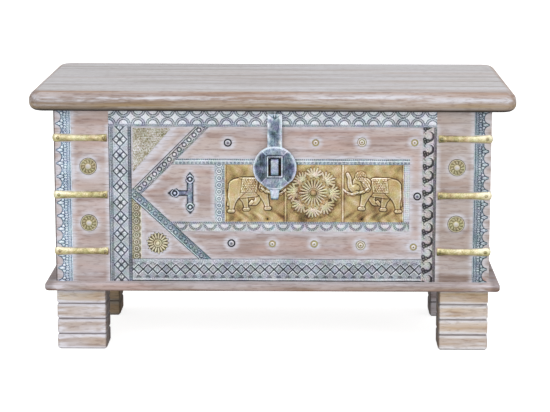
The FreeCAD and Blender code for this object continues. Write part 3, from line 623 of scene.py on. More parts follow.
def crossed_zigzags(u, v):
    du = np.abs((u - 2.2) % lattice_pitch - lattice_pitch / 2)
    rise = v - 22.8
    edge = (du / (lattice_pitch / 2) + np.abs(rise) / 8.8 - 1) * 6.2
    flank = lattice_pitch / 2 - du
    tone = 0.58 - 1.0 * raised(edge, 1.3) + 0.42 * raised(edge - 1.8, 0.8) + 0.20 * raised(edge + 1.5, 0.7)
    height = 0.45 + 0.4 * raised(edge + 2.2, 2.4) + 0.3 * raised(edge - 2.6, 1.2)
    below = within(np.maximum(du * 1.3 + (v - 6.0) - 8.0, 6.5 - v))
    dots = beads(u, (v % 3.0) - 1.5, lattice_pitch / 6, 1.0)
    tone -= (0.16 + 0.44 * dots) * below + 0.20 * dots * within(32.0 - v) * within(v - 40)
    tone -= 0.30 * raised(np.hypot(flank, v - 29.5) - 5.6, 0.8) * within(29.8 - v)
    tone += 0.14 * within(34 - v)
    # The dark line along the lower edge, at v about 0.4, is painted shade
    tone += 0.35 * raised(v - 3.4, 1.3) - 0.60 * raised(v - 0.4, 1.9) - 0.40 * raised(v - 42.7, 1.2)
    return height + 0.3 * raised(v - 4.0, 2.2), tone


strip("bottom_border_tin", "bottom_border_strip", crossed_zigzags, lattice_pitch, 33,
      (-262 - lattice_pitch, 132),
      right, 43, grey_tin)


# ---- Tin border at the right
# A scroll of three-lobed leaves against a double rail, struck deeper than the rest and left almost black
# between.

scroll_pitch = 24.7
black_tin = struck_metal("limed tin, leaf scroll",
                         [(0.0, "232326"), (0.35, "5f5d60"), (0.65, "a09d9f"), (1.0, "dcd8da")],
                         0.25, 0.55)


def leaf_scroll(u, v):
    """v runs from the arrow field to the stile: hooked stems with a trefoil at each, and a double rail."""
    du = (u + 4) % scroll_pitch - scroll_pitch / 2
    tone, height = np.full_like(u, 0.70), np.full_like(u, 0.4)
    hook = within(np.hypot(du, v - 11.4) - 9.9, 1.2) * within(8.6 - np.hypot(du - 1.6, v - 8.8), 1.2)
    inside = within(np.hypot(du - 1.6, v - 8.8) - 6.4, 1.2)
    tone += 0.08 * inside - 0.85 * hook * (0.85 + 0.15 * np.sin(du * 1.9))
    height += 0.6 * hook
    tone += 0.16 * raised(np.hypot(du, v - 11.4) - 10.8, 0.9)
    for lobe_u, lobe_v, size in ((-10.0, 4.6, 2.7), (-5.6, 3.4, 2.5), (-8.6, 9.2, 2.5)):
        away = np.minimum(np.hypot(du - lobe_u, v - lobe_v), np.hypot(du - lobe_u - scroll_pitch, v - lobe_v))
        tone = tone + (0.36 - tone) * within(away - size + 0.6)
        tone -= 0.62 * raised(away - size - 0.2, 1.2)
        tone += 0.22 * raised(away, 1.2)
        height += 0.7 * raised(away, size)
    tone -= 0.5 * raised(np.hypot(du - 7.5, v - 5.5) - 2.6, 0.9) * within(v - 6.2)
    rail = within(20.4 - v)
    lines = raised(v - 20.8, 0.8) + raised(v - 23.2, 0.7) + raised(v - 25.4, 0.6)
    return height + 0.5 * raised(v - 22.0, 1.3), over(tone, rail, 0.62 - 0.56 * np.clip(lines, 0, 1))


strip("right_border_tin", "right_border_strip", leaf_scroll, scroll_pitch, 13, (278, 128), up, 26, black_tin,
      tilt=(1, 0))


# ---- Tin strips round the row of tiles
# Narrow strips of the same tin: blocks and beads above, hanging scallops below, a chain of rings at the left
# and plain beading at the right.

blue_tin = struck_metal("limed tin, tile frame",
                        [(0.0, "38424e"), (0.35, "6d7985"), (0.65, "a9b2b9"), (1.0, "dde4e8")],
                        0.35, 0.5, tint=0.3)
light_tin = struck_metal("limed tin, beading",
                         [(0.0, "4d4f55"), (0.35, "8d9198"), (0.65, "b9bcc1"), (1.0, "dfe0e3")],
                         0.3, 0.55)
block_pitch = 14.4


def blocks(u, v):
    cell_u = u % (block_pitch / 2) - block_pitch / 4
    block = within(np.maximum(np.abs(cell_u) - 2.4, np.abs(v - 3.6) - 2.3))
    dots = beads(u, v - 9.4, block_pitch / 4, 1.15)
    tone = 0.70 - 0.24 * block - 0.55 * dots + 0.3 * raised(v - 6.8, 1.0) - 0.35 * raised(v - 0.2, 0.9)
    return 0.5 + 0.4 * block + 0.4 * dots, tone


scallop_pitch = 27.15
ring_pitch = 13.0
beading_pitch = 10.8


def hanging_scallops(u, v):
    du = (u + 13.6) % scallop_pitch - scallop_pitch / 2
    away = np.hypot(du, v - 14.6)
    lower = within(v - 13.4)
    dots = (np.maximum(bead_ring(du, v - 14.6, 9.4, 3.3, 1.15), bead_ring(du, v - 14.6, 12.2, 3.3, 1.05))
            * lower)
    tone = 0.70 - 0.60 * dots - 0.14 * lower * within(np.abs(away - 10.8) - 2.0) + 0.10 * within(away - 7.6)
    line_dots = np.maximum(beads(u, v - 16.9, scallop_pitch / 8, 1.25),
                           beads(u + 1.5, v - 14.2, scallop_pitch / 8, 0.95))
    tone = over(tone, within(13.4 - v), 0.60 - 0.58 * line_dots)
    return 0.45 + 0.5 * raised(away, 8.6) * lower + 0.35 * np.maximum(dots, line_dots), tone


def ring_chain(u, v):
    du = u % ring_pitch - ring_pitch / 2
    away = np.hypot(du, v - 8.6)
    tone = (0.72 + 0.22 * raised(away - 4.6, 1.2) - 0.55 * raised(away - 2.8, 0.8)
            - 0.4 * raised(away - 6.2, 0.7))
    tone -= 0.55 * beads(u, v - 17.2, ring_pitch / 4, 1.1) + 0.4 * beads(u, v - 14.4, ring_pitch / 4, 0.7)
    return 0.45 + 0.6 * raised(away - 4.6, 1.6) + 0.4 * raised(away, 1.6), tone


def fine_beading(u, v):
    dots = beads(u, (v + 1.2) % 3.4 - 1.7, beading_pitch / 3, 0.95)
    return 0.4 + 0.4 * dots, 0.80 - 0.42 * dots - 0.5 * raised(v - 0.1, 0.9)


strip("tile_frame_top_tin", "tile_frame_top", blocks, block_pitch, 34, (-225, 354), right, 11, blue_tin)
strip("tile_frame_bottom_tin", "tile_frame_bottom", hanging_scallops, scallop_pitch, 18, (-225.1, 227.5),
      right, 18.5, light_tin)
strip("tile_frame_left_tin", "tile_frame_left", ring_chain, ring_pitch, 9, (-108, 244), up, 19, blue_tin,
      tilt=(1, 0))
strip("tile_frame_right_tin", "tile_frame_right", fine_beading, beading_pitch, 11, (243.5, 240), up, 11,
      light_tin, tilt=(1, 0))


# ---- Slanting tin strips of the arrow
# Two strips meet in a point at the left, the lower one laid over the upper. Rings between rails, struck like
# the borders.

arrow_tin = struck_metal("limed tin, arrow", [(0.0, "34383f"), (0.35, "74777d"), (0.65, "a7a8ac"),
                                              (1.0, "d9dadd")], 0.3, 0.55, speckle=0.2)
teal_tin = struck_metal("limed tin, lower arrow",
                        [(0.0, "27333b"), (0.35, "667883"), (0.65, "94a3ab"), (1.0, "d2dce0")],
                        0.3, 0.5, speckle=0.3)


def ringed_band(u, v):
    """v runs from the inner edge of the arrow to its outer edge."""
    du = u % ring_pitch - ring_pitch / 2
    away = np.hypot(du, v - 9.2)
    tone = 0.62 + 0.30 * within(away - 2.3) - 0.55 * raised(away - 3.9, 1.3) + 0.20 * raised(away - 5.8, 0.9)
    scallop = v - 2.0 - 1.5 * raised(np.abs(du) - 6.5, 5.0)
    tone -= 0.55 * beads(u, scallop, ring_pitch / 4, 1.1)
    tone -= 0.60 * raised(v - 14.4, 0.9) + 0.60 * raised(v - 17.8, 1.2) + 0.3 * raised(v - 0.2, 0.8)
    tone += 0.26 * raised(v - 16.2, 1.0)
    return 0.45 + 0.6 * raised(away, 4.0) + 0.4 * raised(v - 16.3, 1.6), tone


slant = math.radians(45)
strip("upper_arrow_tin", "upper_diagonal_strip", ringed_band, ring_pitch, 17,
      (-262 + 18.5 * math.sin(slant) - 20 * math.cos(slant),
       306 - 18.5 * math.cos(slant) - 20 * math.sin(slant)),
      (math.cos(slant), math.sin(slant)), 18.6, arrow_tin)
slant = math.radians(-43)
lower_width = 16.6


def ringed_band_below(u, v):
    """The same band upside down: v runs from the outer edge of the arrow to its inner edge."""
    height, tone = ringed_band(u, 18.2 - v * 18.2 / lower_width)
    return (height, 0.12 + tone * 0.55 - 0.40 * raised(v - 0.6, 1.0) + 0.5 * raised(v - 2.6, 0.9)
            - 0.3 * raised(v - 16.2, 0.9))


strip("lower_arrow_tin", "lower_diagonal_strip", ringed_band_below, ring_pitch, 17,
      (-262 - 20 * math.cos(slant) + 0.1 * math.sin(slant),
       290 - 20 * math.sin(slant) - 0.1 * math.cos(slant)),
      (math.cos(slant), math.sin(slant)), lower_width, teal_tin)


# ---- Tin strips on the corner stiles
# A leaf scroll with a scalloped outer edge. The strip is cut where the brass straps cross it.

column_count = 13
column_pitch = 323 / column_count
column_metals = {
    "left": struck_metal("blued tin, left corner strip",
                         [(0.0, "35465a"), (0.3, "7a8ea3"), (0.6, "b6c5d3"), (1.0, "ebf1f7")], 0.3, 0.5,
                         speckle=0.2, tint=0.25),
    "right": struck_metal("blued tin, right corner strip",
                          [(0.0, "2c3640"), (0.3, "5f6e7b"), (0.6, "8d9aa4"), (1.0, "cfd7dd")], 0.3, 0.5,
                          speckle=0.2, tint=0.25)}
notch_radius = 10.46


def column_width(u):
    """From the inner edge out to the hollow scallops, 9.5 mm deep, between leaf points 4 mm wide."""
    away = np.abs(u % column_pitch - column_pitch / 2)
    return (28.0
            - np.clip(np.sqrt(np.clip(notch_radius ** 2 - away ** 2, 0, None)) - notch_radius + 9.5, 0, 9.5))


def leaf_clusters(u, v):
    """v runs from the inner rail outwards: rails, curls, and a lobed leaf at each point between scallops."""
    half = column_pitch / 2
    du = u % column_pitch - half
    leaf_u = np.abs((u + half) % column_pitch - half)
    tone = np.full_like(u, 0.62)
    height = np.full_like(u, 0.45)
    tone -= 0.55 * raised(np.hypot(du, v - 28.96) - notch_radius - 0.9, 1.0)
    for at, reach, wide, tall in ((0.0, 21.5, 2.8, 6.2), (5.4, 17.0, 2.6, 3.4), (7.6, 11.4, 3.0, 2.6),
                                  (2.6, 11.0, 2.2, 3.0)):
        away = (np.hypot((leaf_u - at) / wide, (v - reach) / tall) - 1) * 2.6
        tone += (0.24 * within(away) - 0.50 * raised(away - 0.4, 0.8)
                 - 0.40 * raised(leaf_u - at, 0.6) * within(away + 0.8))
        height += 0.7 * raised(away + 2.6, 2.6)
    away = np.hypot(du, v - 12.0)
    tone += 0.20 * within(away - 2.6) - 0.45 * raised(away - 3.4, 0.8) - 0.4 * within(away - 0.8)
    tone -= 0.34 * beads(u, v - 6.6, column_pitch / 7, 1.1)
    tone = over(tone, within(v - 5.0), 0.74 - 0.62 * raised(v - 2.6, 1.1) - 0.35 * raised(v - 5.0, 0.7))
    return height + 0.4 * raised(v - 2.7, 1.5), tone


for side, hand in (("left", -1), ("right", 1)):
    strip(f"{side}_column_tin", f"{side}_column_strip", leaf_clusters, column_pitch, column_count,
          (hand * 373, 132), up,
          column_width, column_metals[side], boxed=True, tilt=(hand, 0))


# ---- Brass tiles with elephants
# Two square brass sheets worked from behind: an elephant in harness walks towards the middle from either
# side. Polished, then browned in the hollows.

tile_brass = struck_metal("embossed brass, tiles",
                          [(0.0, "35261a"), (0.25, "755c38"), (0.5, "b19a6a"), (0.72, "cbbb98"),
                           (1.0, "f6f0e8")],
                          0.4, 0.42, speckle=0.12, cloud=0.16, grain=1.6, tint=0.35)


def limb(x, depth, places, lift):
    """A rounded form along (x, depth, half width) places: its height, and the distance to its outline."""
    height, edge = np.zeros_like(x), np.full_like(x, 99.0)
    for (x1, d1, r1), (x2, d2, r2) in zip(places, places[1:] or places):
        run = max((x2 - x1) ** 2 + (d2 - d1) ** 2, 1e-6)
        share = np.clip(((x - x1) * (x2 - x1) + (depth - d1) * (d2 - d1)) / run, 0, 1)
        away = np.hypot(x - x1 - share * (x2 - x1), depth - d1 - share * (d2 - d1))
        half = r1 + share * (r2 - r1)
        height = np.maximum(height, lift * raised(away, half))
        edge = np.minimum(edge, away - half)
    return height, edge


elephant_width = 115
elephant_forms = [  # places of each form from the tile's upper left corner, and how far it stands out
    ([(105, 38, 1.6), (108.5, 52, 1.4), (108, 68, 1.5), (108.5, 76, 2.4)], 0.9),
    ([(54, 56, 7.5), (54, 66, 4.8), (58, 72, 4.2), (65, 72.5, 4.0)], 1.3),
    ([(64.5, 69.5, 3.0), (68.5, 74.5, 2.6)], 1.6),
    ([(82, 56, 9.5), (77, 69, 5.4), (75, 80, 3.8)], 1.4),
    ([(71.5, 84.0, 3.1), (78.5, 84.4, 3.1)], 1.5),
    ([(62, 42, 18.5), (84, 43.5, 19.5)], 1.7),
    ([(92, 44, 17.5), (99, 60, 10), (101, 73, 5.4), (102.5, 84, 4.0)], 2.0),
    ([(99.5, 87.6, 3.1), (107, 87.8, 3.1)], 1.9),
    ([(47, 43, 14), (42, 58, 7.8), (38, 70, 5.0), (36, 79, 4.1)], 2.1),
    ([(31.5, 82.2, 3.3), (38.5, 82.6, 3.3)], 2.0),
    ([(30, 50.5, 5.5), (36, 48, 6)], 1.8),
    ([(31, 33, 12.6), (30, 42, 11)], 2.2),
    ([(33, 21, 8.2)], 2.4),
    ([(43, 33, 8.6), (45.5, 45, 5.4)], 2.5),
    ([(24, 43, 7.2), (18.6, 45.6, 5.6), (14.2, 41, 4.7), (12.4, 33, 4.1), (12.2, 25, 3.5), (8.6, 17, 3)],
     2.2),
    ([(27, 51, 2.7), (17, 54.6, 2.2), (8.5, 51.5, 1.5)], 2.4),
]


def elephant(x, depth):
    """Relief and tone of the elephant that faces left: scribed dark outline, edges polished pale."""
    height, tone = np.zeros_like(x), np.full_like(x, 0.50)
    whole = np.full_like(x, 99.0)
    for places, lift in elephant_forms:
        form, edge = limb(x, depth, places, lift)
        on_top = (form > height) & (edge < 0)
        tone = np.where(edge < 0, np.where(on_top, 0.49 + 0.05 * form, tone),
                        tone - 0.42 * raised(edge - 0.7, 1.2))
        tone = tone + np.where(on_top, 0.25 * min(1, lift) * raised(edge + 1.3, 1.0), 0)
        height = np.maximum(height, form)
        whole = np.minimum(whole, edge)
    cloth = np.maximum(np.abs(x - 69 - (depth - 38) * 0.12) - 13.5,
                       np.abs(depth - 38.5 + (x - 69) * 0.02) - 13)
    dots = beads(x + (np.floor(depth / 3.4) % 2) * 1.7, depth % 3.4 - 1.7, 3.4, 1.05)
    curls = np.sin(x * 1.15 + 1.5 * np.sin(depth * 0.9)) * np.sin(depth * 1.25 + 1.2 * np.sin(x * 0.7))
    cap = np.hypot(x - 33, (depth - 21) * 1.1) - 9.6
    ear_cloth = limb(x, depth, [(36, 27, 3.4), (44, 34, 3), (49, 43, 2.2)], 1)[1]
    for edge in (cloth, cap, ear_cloth):
        on = within(edge)
        tone = over(tone, on, 0.36 + 0.46 * dots + 0.30 * curls)
        height += on * (0.35 + 0.3 * dots)
        tone += 0.34 * raised(edge, 0.9) - 0.30 * raised(edge - 1.6, 0.9)
    strap = limb(x, depth, [(1, 46, 0.5), (11, 55, 0.9), (20, 56, 1.0), (29, 52.5, 1.0), (39, 49.5, 1.0),
                            (46, 44, 0.8)],
                 1)[1]
    tone += 0.45 * raised(strap, 1.2) - 0.30 * raised(strap - 2.0, 0.9)
    fringe = within(np.abs(depth - 54.5) - 2.2) * within(np.abs(x - 71) - 15)
    tone += fringe * (0.4 * beads(x, depth - 54.5, 3.0, 1.1) - 0.1)
    for foot_x, foot_depth in ((35, 78.5), (75, 81), (101, 85.2)):
        band = within(np.maximum(np.abs(x - foot_x) - 5.5, np.abs(depth - foot_depth) - 2.4))
        tone += band * (0.45 * beads(x, depth % 2.6 - 1.3, 2.8, 0.9) - 0.14)
        height += 0.3 * band
    tone -= 0.4 * raised(np.hypot(x - 27, depth - 37), 1.5)
    ripple = np.sin(x * 0.21 + 1.3 * np.sin(depth * 0.13)) * np.sin(depth * 0.17 + 0.9 * np.sin(x * 0.11 + 2))
    ground = within(0.5 - whole)
    dents = (np.clip((depth - 84) / 10, 0, 1) * np.sin(x * 0.33 + 2.2 * np.sin(depth * 0.19 + 1))
             * np.sin(depth * 0.21 + x * 0.05))
    height += (0.35 * ripple + 0.5 * dents) * ground
    tone += 0.15 * dents * ground
    tone += ((0.13 * ripple - 0.08 * np.clip((depth - 84) / 24, 0, 1) + 0.10 * np.clip(1 - depth / 14, 0, 1))
             * ground)
    return height, tone


tile_cell = 0.62


def tile(name, node, design):
    """A brass sheet with a narrow rolled rim, its design worked up from behind."""
    low, high = box_mm(node)
    wide, tall = high.x - low.x, high.z - low.z
    x, depth = np.meshgrid(np.linspace(0, wide, int(wide / tile_cell)),
                           np.linspace(tall, 0, int(tall / tile_cell)),
                           indexing="ij")
    height, tone = design(x, depth)
    edge = np.minimum(np.minimum(x, wide - x), np.minimum(depth, tall - depth))
    seam = np.minimum(x, wide - x)
    height = height * np.clip(edge / 3, 0, 1) + 0.7 + 0.3 * raised(edge - 0.6, 1.2)
    tone = tone + 0.22 * raised(seam - 0.6, 1.2) - 0.26 * raised(seam - 2.6, 0.9)
    places = np.stack([low.x + x, high.y - height, high.z - depth], -1)
    piece = grid_piece(name, places, np.clip(tone, 0, 1))
    piece.data.materials.append(tile_brass)
    cut_to(piece, node)
    return piece


tile("right_elephant_brass", "right_elephant_tile", elephant)
tile("left_elephant_brass", "left_elephant_tile", lambda x, depth: elephant(elephant_width - x, depth))


# ---- Brass tile with the lotus
# The middle sheet: a flower of long narrow petals with a ring of lotus heads round it. The petals are worked
# one by one with the same punch.

def lotus_ground(x, depth):
    centre = np.hypot(x - 51.6, depth - 52.8)
    ripple = np.sin(x * 0.19 + 2) * np.sin(depth * 0.23 + 0.7 * np.sin(x * 0.13))
    tone = 0.50 + 0.10 * ripple - 0.20 * raised(centre - 40, 11) - 0.10 * np.clip((depth - 84) / 16, 0, 1)
    tone -= 0.30 * within(centre - 22, 9)
    return 0.5 + 0.35 * raised(centre, 52), tone


petal_back = 0.6


def petal_piece(name, first, last, half, lift, tones, rim=0.76, hook=0.0):
    """One petal along X with its face to the front, in mm: closed, narrow at both ends, dark from the rim
    outwards, its tip hooked to one side."""
    across = np.array([-1, -rim, -rim + 0.16, 0, rim - 0.16, rim, 1])
    along, across = np.meshgrid(np.linspace(0, 1, 8), across, indexing="ij")
    spread = half * np.sin(math.pi * np.clip(0.06 + along * 0.9, 0, 1)) ** 0.65
    height = lift * (1 - across ** 2) * np.sin(math.pi * (0.12 + 0.8 * along)) ** 0.5
    tone = (np.interp(np.abs(across), (0, rim - 0.16, rim, 1), (0.62, 1, 0.2, 0)) * (along < 0.99)
            * (along > 0.01))
    tone = tones[0] + (tones[1] - tones[0]) * tone
    places = np.stack([first + along * (last - first), -height, spread * across + hook * along ** 2], -1)
    piece = grid_piece(name, places, tone)
    form = bmesh.new()
    form.from_mesh(piece.data)
    turn_back(form, petal_back * MM)
    form.to_mesh(piece.data)
    form.free()
    return piece


petal_tree, given = geometry_tree("petals round a centre", {
    "Petals": "Int", "First Angle": "Float", "Step": "Float", "Centre": "Vector", "Metal": "Material"})
spots = add(petal_tree, "GeometryNodeMeshLine", {"Count": given["Petals"], "Offset": (0, 0, 0)})
count = add(petal_tree, "GeometryNodeInputIndex")
turn = add(petal_tree, "ShaderNodeMath", {0: count.outputs[0], 1: given["Step"], 2: given["First Angle"]},
           operation="MULTIPLY_ADD")
turn = add(petal_tree, "ShaderNodeCombineXYZ", {"Y": turn.outputs[0]})
turn = add(petal_tree, "FunctionNodeEulerToRotation", {0: turn.outputs[0]})
uneven = add(petal_tree, "FunctionNodeRandomValue", {2: 0.95, 3: 1.03, "Seed": 7}, data_type="FLOAT")
petals = add(petal_tree, "GeometryNodeInstanceOnPoints",
             {"Points": spots.outputs[0], "Instance": given["Geometry"],
              "Rotation": turn.outputs[0], "Scale": uneven.outputs[1]})
placed = add(petal_tree, "GeometryNodeTranslateInstances",
             {0: petals.outputs[0], "Translation": given["Centre"],
              "Local Space": False})
joined = add(petal_tree, "GeometryNodeRealizeInstances", {0: placed.outputs[0]})
dressed = add(petal_tree, "GeometryNodeSetMaterial",
              {"Geometry": joined.outputs[0], "Material": given["Metal"]})
add(petal_tree, "NodeGroupOutput", {0: dressed.outputs[0]})


def flower(piece, petals, centre, metal, first=0.0, step=None):
    """Repeats a petal round a centre given in millimetres."""
    return worked(piece,
                  petal_tree, **{"Petals": petals, "First Angle": first, "Step": step or 2 * math.pi / petals,
                                 "Centre": [c * MM for c in centre], "Metal": metal})


def merged(name, pieces):
    """Several finished pieces as one, with the metal of the first."""
    corners, faces, tones = [], [], []
    for piece in pieces:
        faces += [[len(corners) + i for i in face.vertices] for face in piece.data.polygons]
        corners += [corner.co.copy() for corner in piece.data.vertices]
        tones += [spot.value for spot in piece.data.attributes["tone"].data]
    mesh = bpy.data.meshes.new(name)
    mesh.from_pydata(corners, [], faces)
    mesh.polygons.foreach_set("use_smooth", np.ones(len(faces), bool))
    mark(mesh, "tone", tones)
    mesh.materials.append([metal for metal in pieces[0].data.materials if metal][-1])
    whole = new_object(name, mesh)
    for piece in pieces:
        bpy.data.objects.remove(piece)
    return whole


def turned_boss(name, profile, segments=24):
    """A round boss whose profile is (radius, height, tone) in millimetres, with its face to the front."""
    radius, height, tone = np.array(profile + [(0.02, profile[-1][1], profile[-1][2])]).T
    angle = np.linspace(0, 2 * math.pi, segments + 1)
    places = np.stack([np.outer(np.cos(angle), radius), np.outer(np.ones_like(angle), -height),
                       np.outer(np.sin(angle), radius)], -1)
    piece = grid_piece(name, places, np.outer(np.ones_like(angle), tone))
    form = bmesh.new()
    form.from_mesh(piece.data)
    bmesh.ops.remove_doubles(form, verts=form.verts, dist=0.03 * MM)
    bmesh.ops.holes_fill(form, edges=[edge for edge in form.edges if edge.is_boundary])
    bmesh.ops.recalc_face_normals(form, faces=form.faces)
    form.to_mesh(piece.data)
    form.free()
    return piece


lotus_brass = struck_metal("embossed brass, lotus",
                           [(0.0, "3a2c20"), (0.25, "6e5b38"), (0.5, "a8946a"), (0.72, "c8bb98"),
                            (1.0, "ebe4d8")],
                           0.4, 0.42, speckle=0.14, cloud=0.12, grain=1.6, tint=0.55)
tile("lotus_ground_brass", "lotus_tile", lotus_ground)
lotus_low, lotus_high = box_mm("lotus_tile")
lotus_centre = (lotus_low.x + 51.6, lotus_high.y - 1.3, lotus_high.z - 52.8)
long_petals = flower(petal_piece("long_petals", 6.8, 28.5, 1.9, 1.6, (-0.1, 1.0), 0.8), 22, lotus_centre,
                     lotus_brass)
# Tip, half width, lift, palest tone, rim, how many, how far out, and the angles of the first and of the step
fan_petals = [
    ("fan", 21.8, 2.6, 1.0, 0.95, 0.7, 7, 30.0, -63, 21),
    ("low", 11.0, 2.6, 0.8, 0.85, 0.7, 2, 30.0, -90, 180),
    ("bud", 11.5, 3.2, 1.7, 1.0, 0.66, 3, 29.5, -34, 34),
]
fan = merged("fan", [flower(petal_piece(name, 0.5, tip, half, lift, (-0.1, palest), rim), count, (out, 0, 0),
                            lotus_brass,
                            math.radians(first), math.radians(step))
                     for name, tip, half, lift, palest, rim, count, out, first, step in fan_petals])
fans = flower(fan, 8, lotus_centre, lotus_brass, math.radians(2))
boss = flower(turned_boss("boss", [(8.6, 0, 0.1), (8.2, 1.2, 0.6), (7.4, 1.5, 0.7), (6.4, 1.1, 0.05),
                                   (5.4, 1.6, 0.35),
                                   (3.4, 2.5, 0.5), (1.0, 2.9, 0.6)]), 1, lotus_centre, lotus_brass)
lotus = merged("lotus_petals", [long_petals, fans, boss])
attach(lotus, "chest")


# ---- Brass sunburst in the lower corner and rosettes on the stiles
# Cast and chased brass, pale where polish reached and olive between the petals, each held by its middle nail.

cast_brass = struck_metal("cast brass, polished",
                          [(0.0, "3b3524"), (0.3, "7d7352"), (0.6, "b3a986"), (1.0, "e6e0c8")],
                          0.15, 0.55, speckle=0.10, cloud=0.10, tint=0.3)
burst_low, burst_high = box_mm("sunburst_boss")
burst_centre = ((burst_low.x + burst_high.x) / 2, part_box("front_panel")[0].y / MM,
                (burst_low.z + burst_high.z) / 2)
burst = flower(petal_piece("burst", 7.0, 21.3, 2.2, 2.6, (-0.2, 1.05), 0.7), 17, burst_centre, cast_brass)
burst_disc = flower(turned_boss("burst_disc",
                                [(18.5, 0, 0.1), (18.0, 0.8, 0.12), (8.6, 1.3, 0.1), (7.4, 2.6, 0.2),
                                 (6.0, 2.9, 0.95), (4.8, 2.3, 0.05), (3.9, 3.8, 0.55), (2.4, 4.8, 0.75),
                                 (0.9, 5.2, 0.8)]), 1, burst_centre, cast_brass)
burst = merged("sunburst", [burst, burst_disc])
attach(burst, "chest")
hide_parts("sunburst_boss")

limed_brass = struck_metal("cast brass, limed", [(0.0, "45412f"), (0.3, "827a59"), (0.55, "b5ab82"),
                                                 (0.75, "c6bfa6"), (1.0, "c2bec2")],
                           0.12, 0.6, speckle=0.12, cloud=0.08, tint=0.25)
for side in ("left", "right"):
    for level in ("lower", "upper"):
        node = f"{side}_{level}_rosette"
        low, high = box_mm(node)
        centre = ((low.x + high.x) / 2, high.y, (low.z + high.z) / 2)
        petals = flower(petal_piece("petals", 5.6, 13.9, 2.3, 2.1, (-0.2, 0.8), 0.7, 3.2), 11, centre,
                        limed_brass, 0.2)
        disc = flower(turned_boss("disc",
                                  [(15.9, 0, 0.0), (15.7, 0.9, 0.0), (15.0, 1.1, 0.05), (14.7, 1.0, 0.90),
                                   (14.2, 1.0, 0.80), (13.4, 1.1, 0.30), (8.0, 1.2, 0.25), (5.6, 2.3, 0.4),
                                   (5.0, 2.6, 0.7), (3.8, 3.2, 0.8), (2.2, 4.4, 1.0), (0.8, 4.8, 0.9)]), 1,
                      centre, limed_brass)
        rosette = merged(f"{node}_cast", [petals, disc])
        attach(rosette, "chest")
        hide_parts(node)


# ---- Brass corner sheet and upright strip behind the arrow
# Thin brass with a fine pricked ground, whitened by lime, and a strip of rings with a scalloped edge.

pricked_brass = struck_metal("pricked brass, limed",
                             [(0.0, "5d573f"), (0.3, "938c72"), (0.6, "b5b2a8"), (1.0, "d6d5d8")],
                             0.15, 0.6, speckle=0.36, cloud=0.30, grain=2.4, tint=0.15)
ring_brass = struck_metal("ringed brass, limed",
                          [(0.0, "4b4632"), (0.3, "857f66"), (0.6, "b5b09b"), (1.0, "d8d5ce")],
                          0.2, 0.55, speckle=0.22, tint=0.25)


brass_ring_pitch = 13.2


def pricked(u, v):
    dots = beads(u + (np.floor(v / 3.2) % 2) * 1.6, v % 3.2 - 1.6, 3.2, 1.0)
    return 0.5 + 0.3 * dots, 0.42 + 0.30 * dots


def brass_rings(u, v):
    """v runs from the border: a beaded rail, rings, and a scalloped edge with lime beyond it."""
    du = u % brass_ring_pitch - brass_ring_pitch / 2
    away = np.hypot(du, v - 7.8)
    tone = 0.60 + 0.2 * raised(away - 4.2, 1.0) - 0.75 * raised(away - 2.6, 1.0)
    tone -= 0.65 * bead_ring(du, v - 7.8, 6.0, 3.2, 1.15)
    tone -= 0.5 * beads(u, v - 1.6, 3.3, 1.0)
    edge = v - 12.6 - 3.2 * raised(du, 6.6)
    tone = (tone * within(edge) + (1 - within(edge)) * 0.95 - 0.55 * raised(edge, 1.0)
            - 0.4 * beads(u, edge + 2.6, 3.3, 0.8))
    return 0.5 + 0.6 * raised(away - 4.2, 1.6) * within(edge), tone


strip("brass_corner_pricked", "brass_corner_sheet", pricked, 9.6, 9, (-262, 336), right, 89.6, pricked_brass)
strip("brass_ring_chain", "brass_ring_strip", brass_rings, brass_ring_pitch, 9, (-262, 174), up, 18,
      ring_brass, tilt=(1, 0))


# ---- Nails
# Hand-made nails with turned heads: blackened iron rings with a pale middle, small brass cups, and large
# brass heads with two rings. Each is driven where its CAD solid stands, a little turned and uneven.

head_tree, given = geometry_tree("heads set at their places", {
    "Head": "Object", "Metal": "Material", "Seed": "Int", "Smallest": "Float", "Largest": "Float"})
head = add(head_tree, "GeometryNodeObjectInfo", {"Object": given["Head"]})
facing = add(head_tree, "GeometryNodeInputNamedAttribute", {"Name": "facing"}, data_type="FLOAT_VECTOR")
straight = add(head_tree, "FunctionNodeAlignRotationToVector", {"Vector": facing.outputs[0]}, axis="Z")
spin = add(head_tree, "FunctionNodeRandomValue", {2: 0.0, 3: 6.28, "Seed": given["Seed"]}, data_type="FLOAT")
spin = add(head_tree, "FunctionNodeAxisAngleToRotation", {"Axis": (0, 0, 1), "Angle": spin.outputs[1]})
turned = add(head_tree, "FunctionNodeRotateRotation", {0: straight.outputs[0], 1: spin.outputs[0]},
             rotation_space="LOCAL")
uneven = add(head_tree, "FunctionNodeRandomValue",
             {2: given["Smallest"], 3: given["Largest"], "Seed": given["Seed"]},
             data_type="FLOAT")
heads = add(head_tree, "GeometryNodeInstanceOnPoints", {
    "Points": given["Geometry"], "Instance": head.outputs["Geometry"], "Rotation": turned.outputs[0],
    "Scale": uneven.outputs[1]})
joined = add(head_tree, "GeometryNodeRealizeInstances", {0: heads.outputs[0]})
dressed = add(head_tree, "GeometryNodeSetMaterial",
              {"Geometry": joined.outputs[0], "Material": given["Metal"]})
add(head_tree, "NodeGroupOutput", {0: dressed.outputs[0]})


